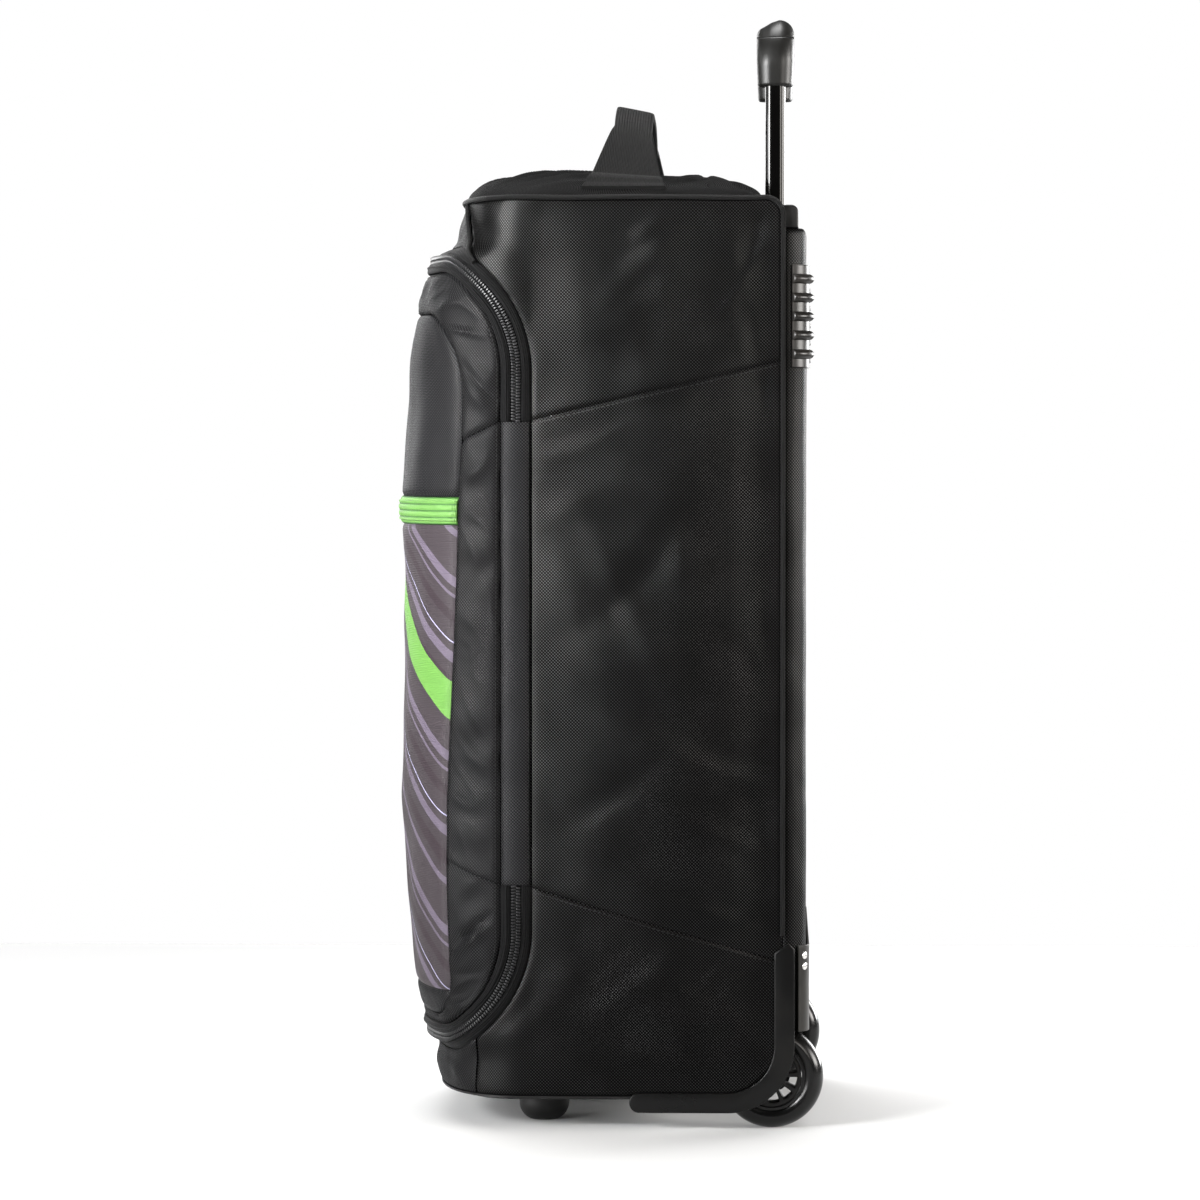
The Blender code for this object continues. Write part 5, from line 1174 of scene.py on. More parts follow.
for name, low, high, rows, material, slot in (
    ("lid_top_panel", POCKET_ZIP_HIGH, PANEL_TOP_Z, 70, lid_twill, "twill_cloth"),
    ("lid_pocket_zip", POCKET_ZIP_LOW, POCKET_ZIP_HIGH, 34, lime, "lime_zip"),
    ("lid_print_panel", PRINT_LOW_Z, POCKET_ZIP_LOW, 150, print_cloth, "lid_print"),
    ("lid_chin_panel", PANEL_LOW_Z, PRINT_LOW_Z, 14, lid_twill, "twill_cloth"),
):
    column = np.sin(quarter(rows)) if name == "lid_top_panel" else np.linspace(0.0, 1.0, rows)
    z = low + 0.5 * GAP + (high - low - GAP) * column[:, None] + np.zeros((1, PANEL_COLUMNS))
    along = np.linspace(-1.0, 1.0, PANEL_COLUMNS)[None, :] * panel_half(z)
    across, down = rows_length(front_point(along, z)[0])
    far_side = np.minimum(across, across[:, -1:] - across)
    far_end = np.minimum(z - low, high - z)
    if name == "lid_pocket_zip":
        up = (z - 0.5 * (low + high)) / ZIP_GROOVE
        ridge = np.abs(np.sin(math.pi * up)) ** 0.6
        wavy = np.sin(2.0 * math.pi * far_side / 0.021) * np.exp(-far_side / 0.014)
        lift = 0.0004 + 0.0012 * ridge * (np.abs(up) < 1.5) + 0.0011 * wavy
        lift += seam_dip(far_side, 0.0024, 0.0020) + seam_dip(far_end, 0.0020, 0.0012)
        uv = np.stack([across, z - 0.5 * (low + high)], axis=-1)
    else:
        swell = np.clip(far_side / 0.03, 0.0, 1.0) * np.clip(far_end / 0.02, 0.0, 1.0)
        lift = PANEL_SWELL * np.sin(0.5 * math.pi * swell)
        lift += seam_dip(far_side, 0.0028, 0.0030) + seam_dip(far_end, 0.0026, 0.0026)
        lift += puckers(far_side, z, 91) + 0.7 * puckers(far_end, across, 93)
        lift += 0.0009 * swell * crumple(along, z, 0.07, 95)
        uv = np.stack([along, z], axis=-1)
    strip_piece(name, along, z, lift, material, uv=uv)


# Crown. The top cloth is loose and lined with thin foam, so it stands up in a soft dome and
# gathers in folds that fan out from its front corners. It is open behind, where the
# handle's plate sits.

CROWN_RISE = 0.0225
CROWN_REAR_Y = 0.1225
CROWN_ROWS = 130
CROWN_COLUMNS = 170

# Columns: place across and back, from -1 to 1, spread as a share of the half width, height
# as a share of CROWN_RISE.
CROWN_PUCKERS = [
    (-0.55, -0.50, 0.22, 0.06), (0.58, -0.45, 0.20, 0.04), (-0.10, -0.72, 0.16, -0.14),
    (0.35, 0.10, 0.18, -0.12), (-0.40, 0.35, 0.24, 0.12), (0.60, 0.65, 0.18, -0.14),
]

# Folds of the crown. Columns: x and y of both ends, half width and height.
CROWN_FOLDS = [
    (0.165, -0.070, 0.125, 0.020, 0.0040, 0.0030),
    (0.160, -0.080, 0.085, 0.010, 0.0045, 0.0028),
    (0.150, -0.088, 0.050, -0.020, 0.0045, 0.0024),
    (0.172, -0.055, 0.155, 0.060, 0.0040, 0.0026),
    (0.170, 0.050, 0.120, 0.090, 0.0050, -0.0022),
    (0.172, 0.105, 0.110, 0.060, 0.0045, 0.0026),
    (-0.165, -0.070, -0.120, 0.015, 0.0040, 0.0030),
    (-0.158, -0.080, -0.080, 0.000, 0.0045, 0.0026),
    (-0.172, -0.050, -0.150, 0.060, 0.0040, 0.0026),
    (-0.172, 0.105, -0.105, 0.065, 0.0045, 0.0026),
    (0.060, -0.108, 0.020, -0.040, 0.0050, 0.0020),
    (-0.050, -0.108, -0.020, -0.030, 0.0050, 0.0018),
]

crown_reach = float(reach_at(TOP_Z))
CROWN_MIDDLE_Y = 0.5 * (CROWN_REAR_Y - LID_REACH)
CROWN_LOOSE = 0.0004
CROWN_FOLD_SHARE = 1.6
CROWN_PITCH = 0.0008


def front_edge(x, reach):
    """The front's y at a distance from the middle, where it reaches so far ahead."""
    plan_x, ahead = half_plan(reach, EDGE_PLAN_STEPS)
    return np.interp(np.abs(x), plan_x, FRONT_SEAM_Y - ahead)


def crown_z(x, y, rise=CROWN_RISE):
    """Height of the crown: a dome steep at its edges, with soft puckers and fanned folds."""
    front = front_edge(x, crown_reach)
    across = np.clip(x / HALF_WIDTH, -1.0, 1.0)
    place = np.clip(2.0 * (y - front) / (CROWN_REAR_Y - front) - 1.0, -1.0, 1.0)
    fall = np.sqrt(1.0 - np.abs(across) ** 3.5) * np.sqrt(1.0 - np.abs(place) ** 4.5)
    dome = fall.copy()
    for px, py, spread, height in CROWN_PUCKERS:
        far = ((across - px) ** 2 + (place - py) ** 2) / spread ** 2
        dome += height * np.exp(-far) * fall
    loose = CROWN_FOLD_SHARE * folds(x, y, CROWN_FOLDS) + CROWN_LOOSE * crumple(x, y, 0.045, 101)
    loose += CROWN_LOOSE * (wrinkles(x, y, 0.055, 103) - 0.5)
    return TOP_Z + GAP + rise * dome + fall ** 0.55 * loose


def crown_grid(inset):
    """Points of the crown's cloth, drawn inwards by a distance, in rows from the front."""
    across = np.sin(np.linspace(-0.5 * math.pi, 0.5 * math.pi, CROWN_COLUMNS))[None, :]
    back = 0.5 + 0.5 * np.sin(np.linspace(-0.5 * math.pi, 0.5 * math.pi, CROWN_ROWS))[:, None]
    x = HALF_WIDTH * across + np.zeros_like(back)
    front = front_edge(x, crown_reach)
    y = front + (CROWN_REAR_Y - front) * back
    z = crown_z(x, y, CROWN_RISE - inset)
    shorter = 1.0 - inset / (CROWN_REAR_Y - CROWN_MIDDLE_Y)
    y = CROWN_MIDDLE_Y + (y - CROWN_MIDDLE_Y) * shorter
    return np.stack([x * (1.0 - inset / HALF_WIDTH), y, z], axis=-1)


# Slack and fine: the dullest twill, so that the lamps above leave no shine on it.
crown_twill = twill("polyester twill, loose crown", "050505", "131313", CROWN_PITCH, 0.60,
                    shine=0.13)
outer = crown_grid(0.0)
across, down = rows_length(outer)
crown = wall("top_panel", outer, crown_grid(CLOTH), np.stack([across, down], axis=-1),
             crown_twill)
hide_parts("top_panel")
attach(crown, "bag")


# Back cloth and bottom. The back is one sheet of twill pulled round both rear corners and
# over the handle's tubes, which show through it as soft upright ridges. The bottom is a
# stiff board with a pebbled plastic coat.

PLATE_TOP_Z = 0.728
PLATE_THICKNESS = 0.018
BACK_LOW_Z = 0.078
BACK_TOP_ROUND = 0.008
TUBE_X = 0.090
CORNER_RADIUS = BACK_Y - REAR_SEAM_Y


def back_outline(inset, count=261):
    """The back in plan, right seam to left, even by length: two quarter rounds and a straight."""
    angle = quarter(60)
    reach = CORNER_RADIUS - inset
    x = HALF_WIDTH - CORNER_RADIUS + reach * np.cos(angle)
    y = REAR_SEAM_Y + GAP + reach * np.sin(angle)
    x = np.concatenate([x, -x[::-1]])
    y = np.concatenate([y, y[::-1]])
    length = np.concatenate([[0.0], np.cumsum(np.hypot(np.diff(x), np.diff(y)))])
    even = np.linspace(0.0, length[-1], count)
    return np.interp(even, length, x), np.interp(even, length, y), even


back_top = PLATE_TOP_Z - PLATE_THICKNESS - GAP
levels = np.concatenate([
    np.linspace(BACK_LOW_Z, back_top - BACK_TOP_ROUND, 220)[:-1],
    back_top - BACK_TOP_ROUND * (1.0 - np.sin(quarter(14))),
])
over = np.clip((levels - back_top + BACK_TOP_ROUND) / BACK_TOP_ROUND, 0.0, 1.0)
insets = 0.5 * BACK_TOP_ROUND * (1.0 - np.sqrt(1.0 - over * over))
outer_rows, inner_rows = [], []
for z, inset in zip(levels, insets):
    x, y, girth = back_outline(inset)
    ridge = np.exp(-((np.abs(x) - TUBE_X) / 0.016) ** 4)
    far_seam = np.minimum(girth, girth[-1] - girth)
    sag = 0.0013 * (1.0 - ridge) * np.clip((far_seam - 0.03) / 0.02, 0.0, 1.0)
    loose = 0.0005 * (1.0 + crumple(girth, np.full_like(girth, 1.0) * z, 0.11, 111))
    loose += 0.0004 * wrinkles(girth, 0.35 * z + np.zeros_like(girth), 0.05, 113)
    drop = sag + loose * np.clip(far_seam / 0.01, 0.0, 1.0)
    drop += 0.0012 * np.exp(-far_seam / 0.002)
    inner_x, inner_y, _ = back_outline(inset + CLOTH)
    away = np.column_stack([unit(np.column_stack([inner_x - x, inner_y - y])), np.zeros_like(x)])
    outer_rows.append(np.column_stack([x, y, np.full_like(x, z)]) + away * drop[:, None])
    inner_rows.append(outer_rows[-1] + away * CLOTH)
outer = np.array(outer_rows)
across, down = rows_length(outer)
back = wall("back_panel", outer, np.array(inner_rows), np.stack([across, down], axis=-1),
            bag_twill)
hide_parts("back_panel")
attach(back, "bag")

base_coat = moulded("pebbled plastic coat on board", "0c0c0c", "1a1a1c", 0.48, 1.4, 0.08)
WHEEL_RADIUS = 0.041
WHEEL_ROOM = 0.006
AXLE_Y = 0.131
turn = np.linspace(-0.5 * math.pi, 0.5 * math.pi, 161)[None, :]
x = HALF_WIDTH * np.sin(turn) + np.zeros((40, 1))
front = front_edge(x, float(reach_at(SIDE_LOW_Z)))
rear = AXLE_Y - WHEEL_RADIUS - WHEEL_ROOM
y = front + (rear - front) * np.linspace(0.0, 1.0, 40)[:, None]
rim = np.minimum(np.minimum(y - front, rear - y), HALF_WIDTH - np.abs(x))
under = np.stack([x, y, FLOOR_Z + 0.0010 * np.exp(-rim / 0.0008)], axis=-1)
upper = np.stack([x, y, np.full_like(x, FLOOR_Z + CLOTH)], axis=-1)
bottom = wall("bottom_panel", under, upper, np.stack([x, y], axis=-1), base_coat)
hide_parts("bottom_panel")
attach(bottom, "bag")


# Piping. A cord in a folded strip of woven tape is sewn into the edge seam, up one rear
# corner, round the top and down the other, and into the seam at each side of the front.

PIPING_OFF = PIPING_RADIUS + GAP
PIPING_FOOT_RISE = 0.006
RAIL_TOP_Z = 0.148
PIPING_SIDES = 12

# Ribbed and nearly black: it draws every edge of the bag as one dark line.
piping_tape = ribbed_tape("woven polyester piping", "040404", "0d0d0d", 0.0013, 0.5, 0.08)


def loft(name, rings, material, smooth_deg=45.0):
    """A closed skin round rings of points, a map of girth and run, and both ends capped."""
    count, sides = rings.shape[:2]
    quads = grid_faces(count, sides, 0, True)
    closed = np.concatenate([rings, rings[:, :1]], axis=1)
    girth, run = rows_length(closed)
    maps = np.stack([girth, run], axis=-1)
    corner_maps = np.stack([maps[:-1, :-1], maps[:-1, 1:], maps[1:, 1:], maps[1:, :-1]], axis=2)
    caps = [np.arange(sides)[::-1], np.arange(sides) + (count - 1) * sides]
    uv = np.concatenate([corner_maps.reshape(-1, 2), maps[0, :-1][::-1], maps[-1, :-1]])
    thing = make_mesh(name, rings, [*quads, *caps], uv, material, smooth_deg)
    face_outwards(thing)
    return thing


def face_outwards(thing):
    """Turn the faces of a mesh of closed shells outwards."""
    bm = bmesh.new()
    bm.from_mesh(thing.data)
    bmesh.ops.recalc_face_normals(bm, faces=bm.faces)
    bm.to_mesh(thing.data)
    bm.free()


def resample(path, step):
    """A path of points, even by length."""
    length = path_length(path)
    places = np.linspace(0.0, length[-1], max(2, int(length[-1] / step)))
    return read_path(places, length, path)


def cord_rings(path, radius, ups, swell=0.0, pitch=1.0):
    """Rings of a round cord on a path: circles square to it, with a faint swell between stitches."""
    ahead = unit(np.gradient(path, axis=0))
    side = unit(np.cross(ahead, ups))
    third = np.cross(side, ahead)
    length = path_length(path)
    size = radius * (1.0 + swell * (np.cos(2.0 * math.pi * length / pitch) - 1.0))
    turn = np.linspace(0.0, 2.0 * math.pi, PIPING_SIDES + 1)[:-1]
    return (path[:, None, :] + size[:, None, None] * (
        np.cos(turn)[None, :, None] * side[:, None, :]
        + np.sin(turn)[None, :, None] * third[:, None, :]))


def piping_piece(name, path, ups):
    """A length of piping along a path, standing for the node of its name."""
    piece = loft(name, cord_rings(path, PIPING_RADIUS, ups, 0.04, 0.0045), piping_tape)
    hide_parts(name)
    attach(piece, "bag")


def mirrored(half):
    """A path over the right half, and on over its mirror image on the left."""
    return np.concatenate([half, half[-2::-1] * (-1.0, 1.0, 1.0)])


corner_y = REAR_SEAM_Y - REAR_TOP_DROP
turn = quarter(16)[1:]
y = np.concatenate([np.full(60, REAR_SEAM_Y), corner_y + REAR_TOP_DROP * np.cos(turn),
                    np.linspace(corner_y, FRONT_SEAM_Y, 50)[1:]])
z = np.concatenate([np.linspace(RAIL_TOP_Z + PIPING_FOOT_RISE, TOP_Z - REAR_TOP_DROP, 60),
                    TOP_Z - REAR_TOP_DROP * (1.0 - np.sin(turn)), np.full(49, TOP_Z)])
flank = np.column_stack([np.full(len(y), HALF_WIDTH + PIPING_OFF), y, z])
spots, outward = front_point(HALF_LENGTH * np.linspace(1.0, 0.0, 120)[1:], TOP_Z)
path = resample(mirrored(np.concatenate([flank, spots + outward * PIPING_OFF])), 0.0022)
wander = 0.0004 * crumple(path[:, 1], path[:, 0], 0.06, 121)
path[:, 2] += wander * (path[:, 2] > TOP_Z - REAR_TOP_DROP)
piping_piece("edge_piping", path, path - (0.0, 0.03, 0.45))

for word, side in SIDES.items():
    z = np.linspace(TOP_FOOT_Z, TOP_Z - 2.0 * PIPING_RADIUS - 2.0 * GAP, 40)
    spots, outward = front_point(side * (HALF_LENGTH - front_limit(z)), z)
    piping_piece("front_piping_" + word, spots + outward * (PIPING_OFF + GAP), outward)


# Top handle. Polypropylene webbing, wide at its sewn feet, runs from edge to edge over the
# crown. Its sides are folded under along the grip and sewn down, which makes it thicker and
# narrower there, and its edges are rounded and slightly proud.

STRAP_GRIP_Y = 0.020
STRAP_FOOT_Y = 0.014
STRAP_FOOT_INSET = 0.003
STRAP_FOOT_WIDTH = 0.066
STRAP_GRIP_WIDTH = 0.030
STRAP_THICKNESS = 0.0025
STRAP_GRIP_THICKNESS = 0.007
STRAP_GRIP_DROP = 0.25
STRAP_ROLL = 0.20
STRAP_TOP_Z = 0.815
STRAP_ARCH = 2.6
WEB_RIB = 0.0021

# Coarse, dull ribs: the handle looks dry beside the cloth.
webbing = ribbed_tape("polypropylene webbing", "030303", "0d0d0d", WEB_RIB, 0.66, 0.05)


def strap_section(sides=44):
    """Half widths and thicknesses round a flat band: a rounded rectangle of many steps."""
    turn = np.linspace(0.0, 2.0 * math.pi, sides + 1)[:-1]
    wide = np.sign(np.cos(turn)) * np.abs(np.cos(turn)) ** 0.35
    thick = np.sign(np.sin(turn)) * np.abs(np.sin(turn)) ** 0.55
    return 0.5 * wide, 0.5 * thick


def strap_rings(count=280):
    """Rings of the handle from foot to foot: an arch over the crown, flared at both feet."""
    reach = HALF_WIDTH - STRAP_FOOT_INSET
    across = np.sin(np.linspace(-0.5 * math.pi, 0.5 * math.pi, count))
    drop = np.abs(across) ** STRAP_ARCH
    flare = np.clip((drop - STRAP_GRIP_DROP) / (1.0 - STRAP_GRIP_DROP), 0.0, 1.0)
    width = STRAP_GRIP_WIDTH + (STRAP_FOOT_WIDTH - STRAP_GRIP_WIDTH) * flare
    middle = STRAP_GRIP_Y + (STRAP_FOOT_Y - STRAP_GRIP_Y) * flare
    folded = 1.0 - np.clip(flare / 0.10, 0.0, 1.0)
    thick = STRAP_THICKNESS + (STRAP_GRIP_THICKNESS - STRAP_THICKNESS) * folded
    top = STRAP_TOP_Z - 0.5 * STRAP_ROLL * STRAP_GRIP_WIDTH
    arch_z = TOP_Z + (top - TOP_Z) * (1.0 - drop)
    x = reach * across
    spread = middle[:, None] + width[:, None] * np.linspace(-0.5, 0.5, 25)[None, :]
    under = crown_z(x[:, None] + np.zeros_like(spread), spread).max(axis=1)
    z = np.maximum(arch_z, under + SEAM + thick)
    z += 0.0007 * np.sin(2.0 * math.pi * x / 0.09)
    wide, depth = strap_section()
    dy = wide[None, :] * width[:, None]
    proud = 0.25 * STRAP_THICKNESS * np.abs(2.0 * wide[None, :]) ** 6
    dn = (depth[None, :] - 0.5) * thick[:, None] + proud * np.sign(depth)[None, :]
    roll = -STRAP_ROLL * dy * (1.0 - flare)[:, None]
    return np.stack([x[:, None] + np.zeros_like(dy), middle[:, None] + dy,
                     z[:, None] + roll + dn], axis=-1)


strap = loft("top_handle", strap_rings(), webbing)
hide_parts("top_handle")
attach(strap, "bag")


# Handle plate. A moulded cover over the top of the back, with a kerb that the crown is sewn
# to, rounded ends and a raised collar round each tube. The tubes slide through its holes.

PLATE_ROUND = 0.006
PLATE_FRONT_Y = 0.115
PLATE_REAR_Y = 0.1515
PLATE_EDGE = 0.0015
TUBE_Y = 0.1333
TUBE_WIDE = 0.022
TUBE_DEEP = 0.016
TUBE_WALL = 0.0015
TUBE_CORNER = 0.005
TUBE_SLIDE_CLEARANCE = 0.0005
COLLAR_LIP = 0.0022

# Profile of a tube's collar. Columns: height over the plate, growth past the lip.
COLLAR = [(-0.002, 0.0022), (0.0002, 0.0020), (0.0016, 0.0008), (0.0034, 0.0004),
          (0.0042, -0.0004), (0.0045, -0.0014)]

# Spark-eroded grain: even, half matt, a little brown where hands have rubbed it.
plate_plastic = moulded("moulded ABS, fine spark grain", "0c0c0c", "191918", 0.40, 0.9, 0.05)


def offset_outline(outline, inset):
    """A closed outline moved inwards: each point goes along the mean of its two sides' normals."""
    ahead = unit(np.roll(outline, -1, axis=0) - outline)
    behind = np.roll(ahead, 1, axis=0)
    normal = unit(np.stack([-(ahead + behind)[:, 1], (ahead + behind)[:, 0]], axis=-1))
    shrink = np.maximum(np.sum(normal * np.stack([-ahead[:, 1], ahead[:, 0]], axis=-1), axis=1),
                        0.5)
    area = np.sum(outline[:, 0] * np.roll(outline[:, 1], -1)
                  - outline[:, 1] * np.roll(outline[:, 0], -1))
    return outline + normal * (math.copysign(inset, area) / shrink)[:, None]


def fine_outline(corners, step):
    """A closed outline with extra points along its sides, none further apart than a step."""
    pieces = []
    for first, second in zip(corners, np.roll(corners, -1, axis=0)):
        count = max(1, int(math.ceil(np.linalg.norm(second - first) / step)))
        pieces.append(first + (second - first) * np.linspace(0.0, 1.0, count + 1)[:-1, None])
    return np.concatenate(pieces)


def bar_rings(outline, low, high, edge, steps=5):
    """Rings of an outline in y and z carried along x, its two rims rounded by a quarter round."""
    turn = quarter(steps)
    insets = edge * (1.0 - np.sin(turn))
    places = edge * (1.0 - np.cos(turn))
    rows = [(low + x, inset) for x, inset in zip(places, insets)]
    rows += [(high - x, inset) for x, inset in zip(places[::-1], insets[::-1])]
    rings = []
    for x, inset in rows:
        shape = offset_outline(outline, inset)
        rings.append(np.column_stack([np.full(len(shape), x), shape]))
    return np.array(rings)


def rounded_box(size_x, size_y, corner, steps=8):
    """A rectangle with round corners about the origin, anticlockwise."""
    points = []
    for sx, sy, start in ((1, 1, 0.0), (-1, 1, 90.0), (-1, -1, 180.0), (1, -1, 270.0)):
        turn = np.radians(np.linspace(start, start + 90.0, steps))
        points.append(np.column_stack([sx * (0.5 * size_x - corner) + corner * np.cos(turn),
                                       sy * (0.5 * size_y - corner) + corner * np.sin(turn)]))
    return np.concatenate(points)


def upright_rings(outline, x, y, rows):
    """Rings of an outline at a place in the plan, at heights, each grown by a distance."""
    rings = []
    for z, grow in rows:
        shape = offset_outline(outline, -grow)
        rings.append(np.column_stack([shape[:, 0] + x, shape[:, 1] + y,
                                      np.full(len(shape), z)]))
    return np.array(rings)


def merge_into(thing, others):
    """Join the meshes of other objects into one, keeping its name, and remove them."""
    bm = bmesh.new()
    for each in (thing, *others):
        bm.from_mesh(each.data)
    bm.to_mesh(thing.data)
    bm.free()
    for each in others:
        bpy.data.objects.remove(each, do_unlink=True)


def cut_by(thing, cutters):
    """Cut a piece by guide blocks with Boolean modifiers, keep the result and drop the blocks."""
    for cutter in cutters:
        bite = thing.modifiers.new("cut", "BOOLEAN")
        bite.operation = "DIFFERENCE"
        bite.object = cutter
    bpy.context.view_layer.update()
    shape = thing.evaluated_get(bpy.context.evaluated_depsgraph_get())
    mesh = bpy.data.meshes.new_from_object(shape)
    thing.modifiers.clear()
    thing.data = mesh
    for cutter in cutters:
        bpy.data.objects.remove(cutter, do_unlink=True)
    mesh.set_sharp_from_angle(angle=math.radians(35.0))


def peg(outline, x, y, low, high):
    """A guide block that cuts a hole of an outline, from one height to another."""
    return loft("peg", upright_rings(outline, x, y, [(low, 0.0), (high, 0.0)]), plate_plastic)


plate_low = PLATE_TOP_Z - PLATE_THICKNESS
kerb = CROWN_REAR_Y - GAP
turn = quarter(10)
corners = np.concatenate([
    [(PLATE_FRONT_Y, plate_low), (PLATE_REAR_Y, plate_low)],
    np.column_stack([PLATE_REAR_Y - PLATE_ROUND * (1.0 - np.cos(turn)),
                     PLATE_TOP_Z - PLATE_ROUND * (1.0 - np.sin(turn))]),
    [(kerb + 0.0012, PLATE_TOP_Z), (kerb, PLATE_TOP_Z + 0.0012), (kerb, TOP_Z - 0.0006),
     (kerb - 0.0006, TOP_Z), (PLATE_FRONT_Y, TOP_Z)],
])
reach = HALF_WIDTH - CLOTH - GAP
plate = loft("handle_plate", bar_rings(fine_outline(corners, 0.004), -reach, reach, PLATE_EDGE),
             plate_plastic, 35.0)
slide = 2.0 * TUBE_SLIDE_CLEARANCE
bore = rounded_box(TUBE_WIDE + slide, TUBE_DEEP + slide, TUBE_CORNER)
collars, cutters = [], []
for word, side in SIDES.items():
    rows = [(PLATE_TOP_Z + rise, COLLAR_LIP + grow) for rise, grow in COLLAR]
    collars.append(loft("collar_" + word, upright_rings(bore, side * TUBE_X, TUBE_Y, rows),
                        plate_plastic, 35.0))
    cutters.append(peg(bore, side * TUBE_X, TUBE_Y, plate_low - 0.01, PLATE_TOP_Z + 0.02))
merge_into(plate, collars)
cut_by(plate, cutters)
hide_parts("handle_plate")
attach(plate, "bag")


# Telescopic tubes. Extruded aluminium of a rounded oblong section, anodised black and
# polished. The inner pair slides in the outer pair, which stays inside the bag.

INNER_TUBE_LOW_Z = 0.330
GRIP_TOP_Z = 0.881
GRIP_HEIGHT = 0.055
GRIP_FOOT_Z = GRIP_TOP_Z - GRIP_HEIGHT
SOCKET_DEPTH = 0.014
DRAW_LINE = 0.0009


def anodised(name, base, sheen_tone, rough):
    """Bright metal: fine lengthwise draw lines and slow dull patches.

    To the eye it is a sharp mirror with streaks along it, soft where it has been handled.
    """
    material, tree = new_material(name)
    place = add(tree, "TexCoord").outputs["Object"]
    drawn = add(tree, "Mapping", {"Scale": (1.0, 1.0, 0.01)}, {"Vector": place})
    lines = add(tree, "TexNoise", {"Scale": 1.0 / DRAW_LINE, "Detail": 2.0}, {"Vector": drawn})
    patch = add(tree, "TexNoise", {"Scale": 30.0, "Detail": 4.0}, {"Vector": place})
    tone = add(tree, "Mix", {"data_type": "RGBA", 6: base, 7: sheen_tone}, {0: lines})
    gloss = add(tree, "MapRange", {"To Min": rough - 0.06, "To Max": rough + 0.08},
                {"Value": patch})
    finish(tree, {"Metallic": 0.85, "Coat Weight": 0.3},
           {"Base Color": tone, "Roughness": gloss}, (lines, 0.15, 0.0001))
    return material


black_anodised = anodised("black anodised aluminium", "040404", "0f0e0d", 0.20)
for word, side in SIDES.items():
    section = rounded_box(TUBE_WIDE, TUBE_DEEP, TUBE_CORNER)
    hollow = rounded_box(TUBE_WIDE - 2.0 * TUBE_WALL, TUBE_DEEP - 2.0 * TUBE_WALL,
                         TUBE_CORNER - TUBE_WALL)
    top = GRIP_FOOT_Z + SOCKET_DEPTH - GAP
    skin, core = [upright_rings(shape, side * TUBE_X, TUBE_Y, [(INNER_TUBE_LOW_Z, 0.0), (top, 0.0)])
                  for shape in (section, hollow)]
    rings = np.array([core[0], skin[0], skin[1], core[1], core[0]])
    count = rings.shape[1]
    points = rings[:4].reshape(-1, 3)
    faces = grid_faces(4, count, 0, True).tolist()
    onward = (np.arange(count) + 1) % count
    faces += np.stack([np.arange(count) + 3 * count, onward + 3 * count, onward,
                       np.arange(count)], axis=-1).tolist()
    tube = make_mesh("inner_tube_" + word, points, faces, points[:, :2], black_anodised, 35.0)
    face_outwards(tube)
    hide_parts("inner_tube_" + word)
    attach(tube, "trolley_handle")


# Grip. Two moulded half shells of hard rubber-like plastic over both tubes, joined at a fine
# part line half way up the bar, with a push button let into the top. Seen from the side it
# is egg-shaped: the front slopes off and the rear stands up.

GRIP_DEEP = 0.030
GRIP_THICK = 0.028
GRIP_BEND = 0.024
GRIP_SLANT = 0.0046
GRIP_SLANT_START = 0.0030
GRIP_SLANT_REACH = 0.013
GRIP_CORNER = 0.0118
GRIP_TAPER = 0.0012
PART_LINE = 0.0008
PART_DROP = 0.0158
BUTTON_LENGTH = 0.036
BUTTON_WIDTH = 0.012
BUTTON_DEPTH = 0.005
BUTTON_SETBACK = 0.003
BUTTON_SINK = 0.0005

# Soft-touch plastic: a warm black with a wide, slightly glossy highlight. The dark line is the
# joint of its two shells, a dent that fades with distance from its height.
grip_plastic = moulded("moulded soft-touch plastic", "070706", "12110f", 0.38, 0.7, 0.04,
                       level=0.30)
tree = grip_plastic.node_tree
place = add(tree, "TexCoord").outputs["Object"]
parts = add(tree, "SeparateXYZ", links={"Vector": place})
away = add(tree, "Math", {"operation": "SUBTRACT", 1: GRIP_TOP_Z - PART_DROP},
           {0: parts.outputs["Z"]})
near = add(tree, "Math", {"operation": "ABSOLUTE"}, {0: away})
line = add(tree, "MapRange", {"From Max": PART_LINE, "To Min": -1.0, "To Max": 0.0},
           {"Value": near})
dent = add(tree, "Bump", {"Strength": 1.0, "Distance": 0.0020},
           {"Height": line, "Normal": tree.nodes["Bump"]})
tree.links.new(dent.outputs["Normal"], tree.nodes["Principled BSDF"].inputs["Normal"])


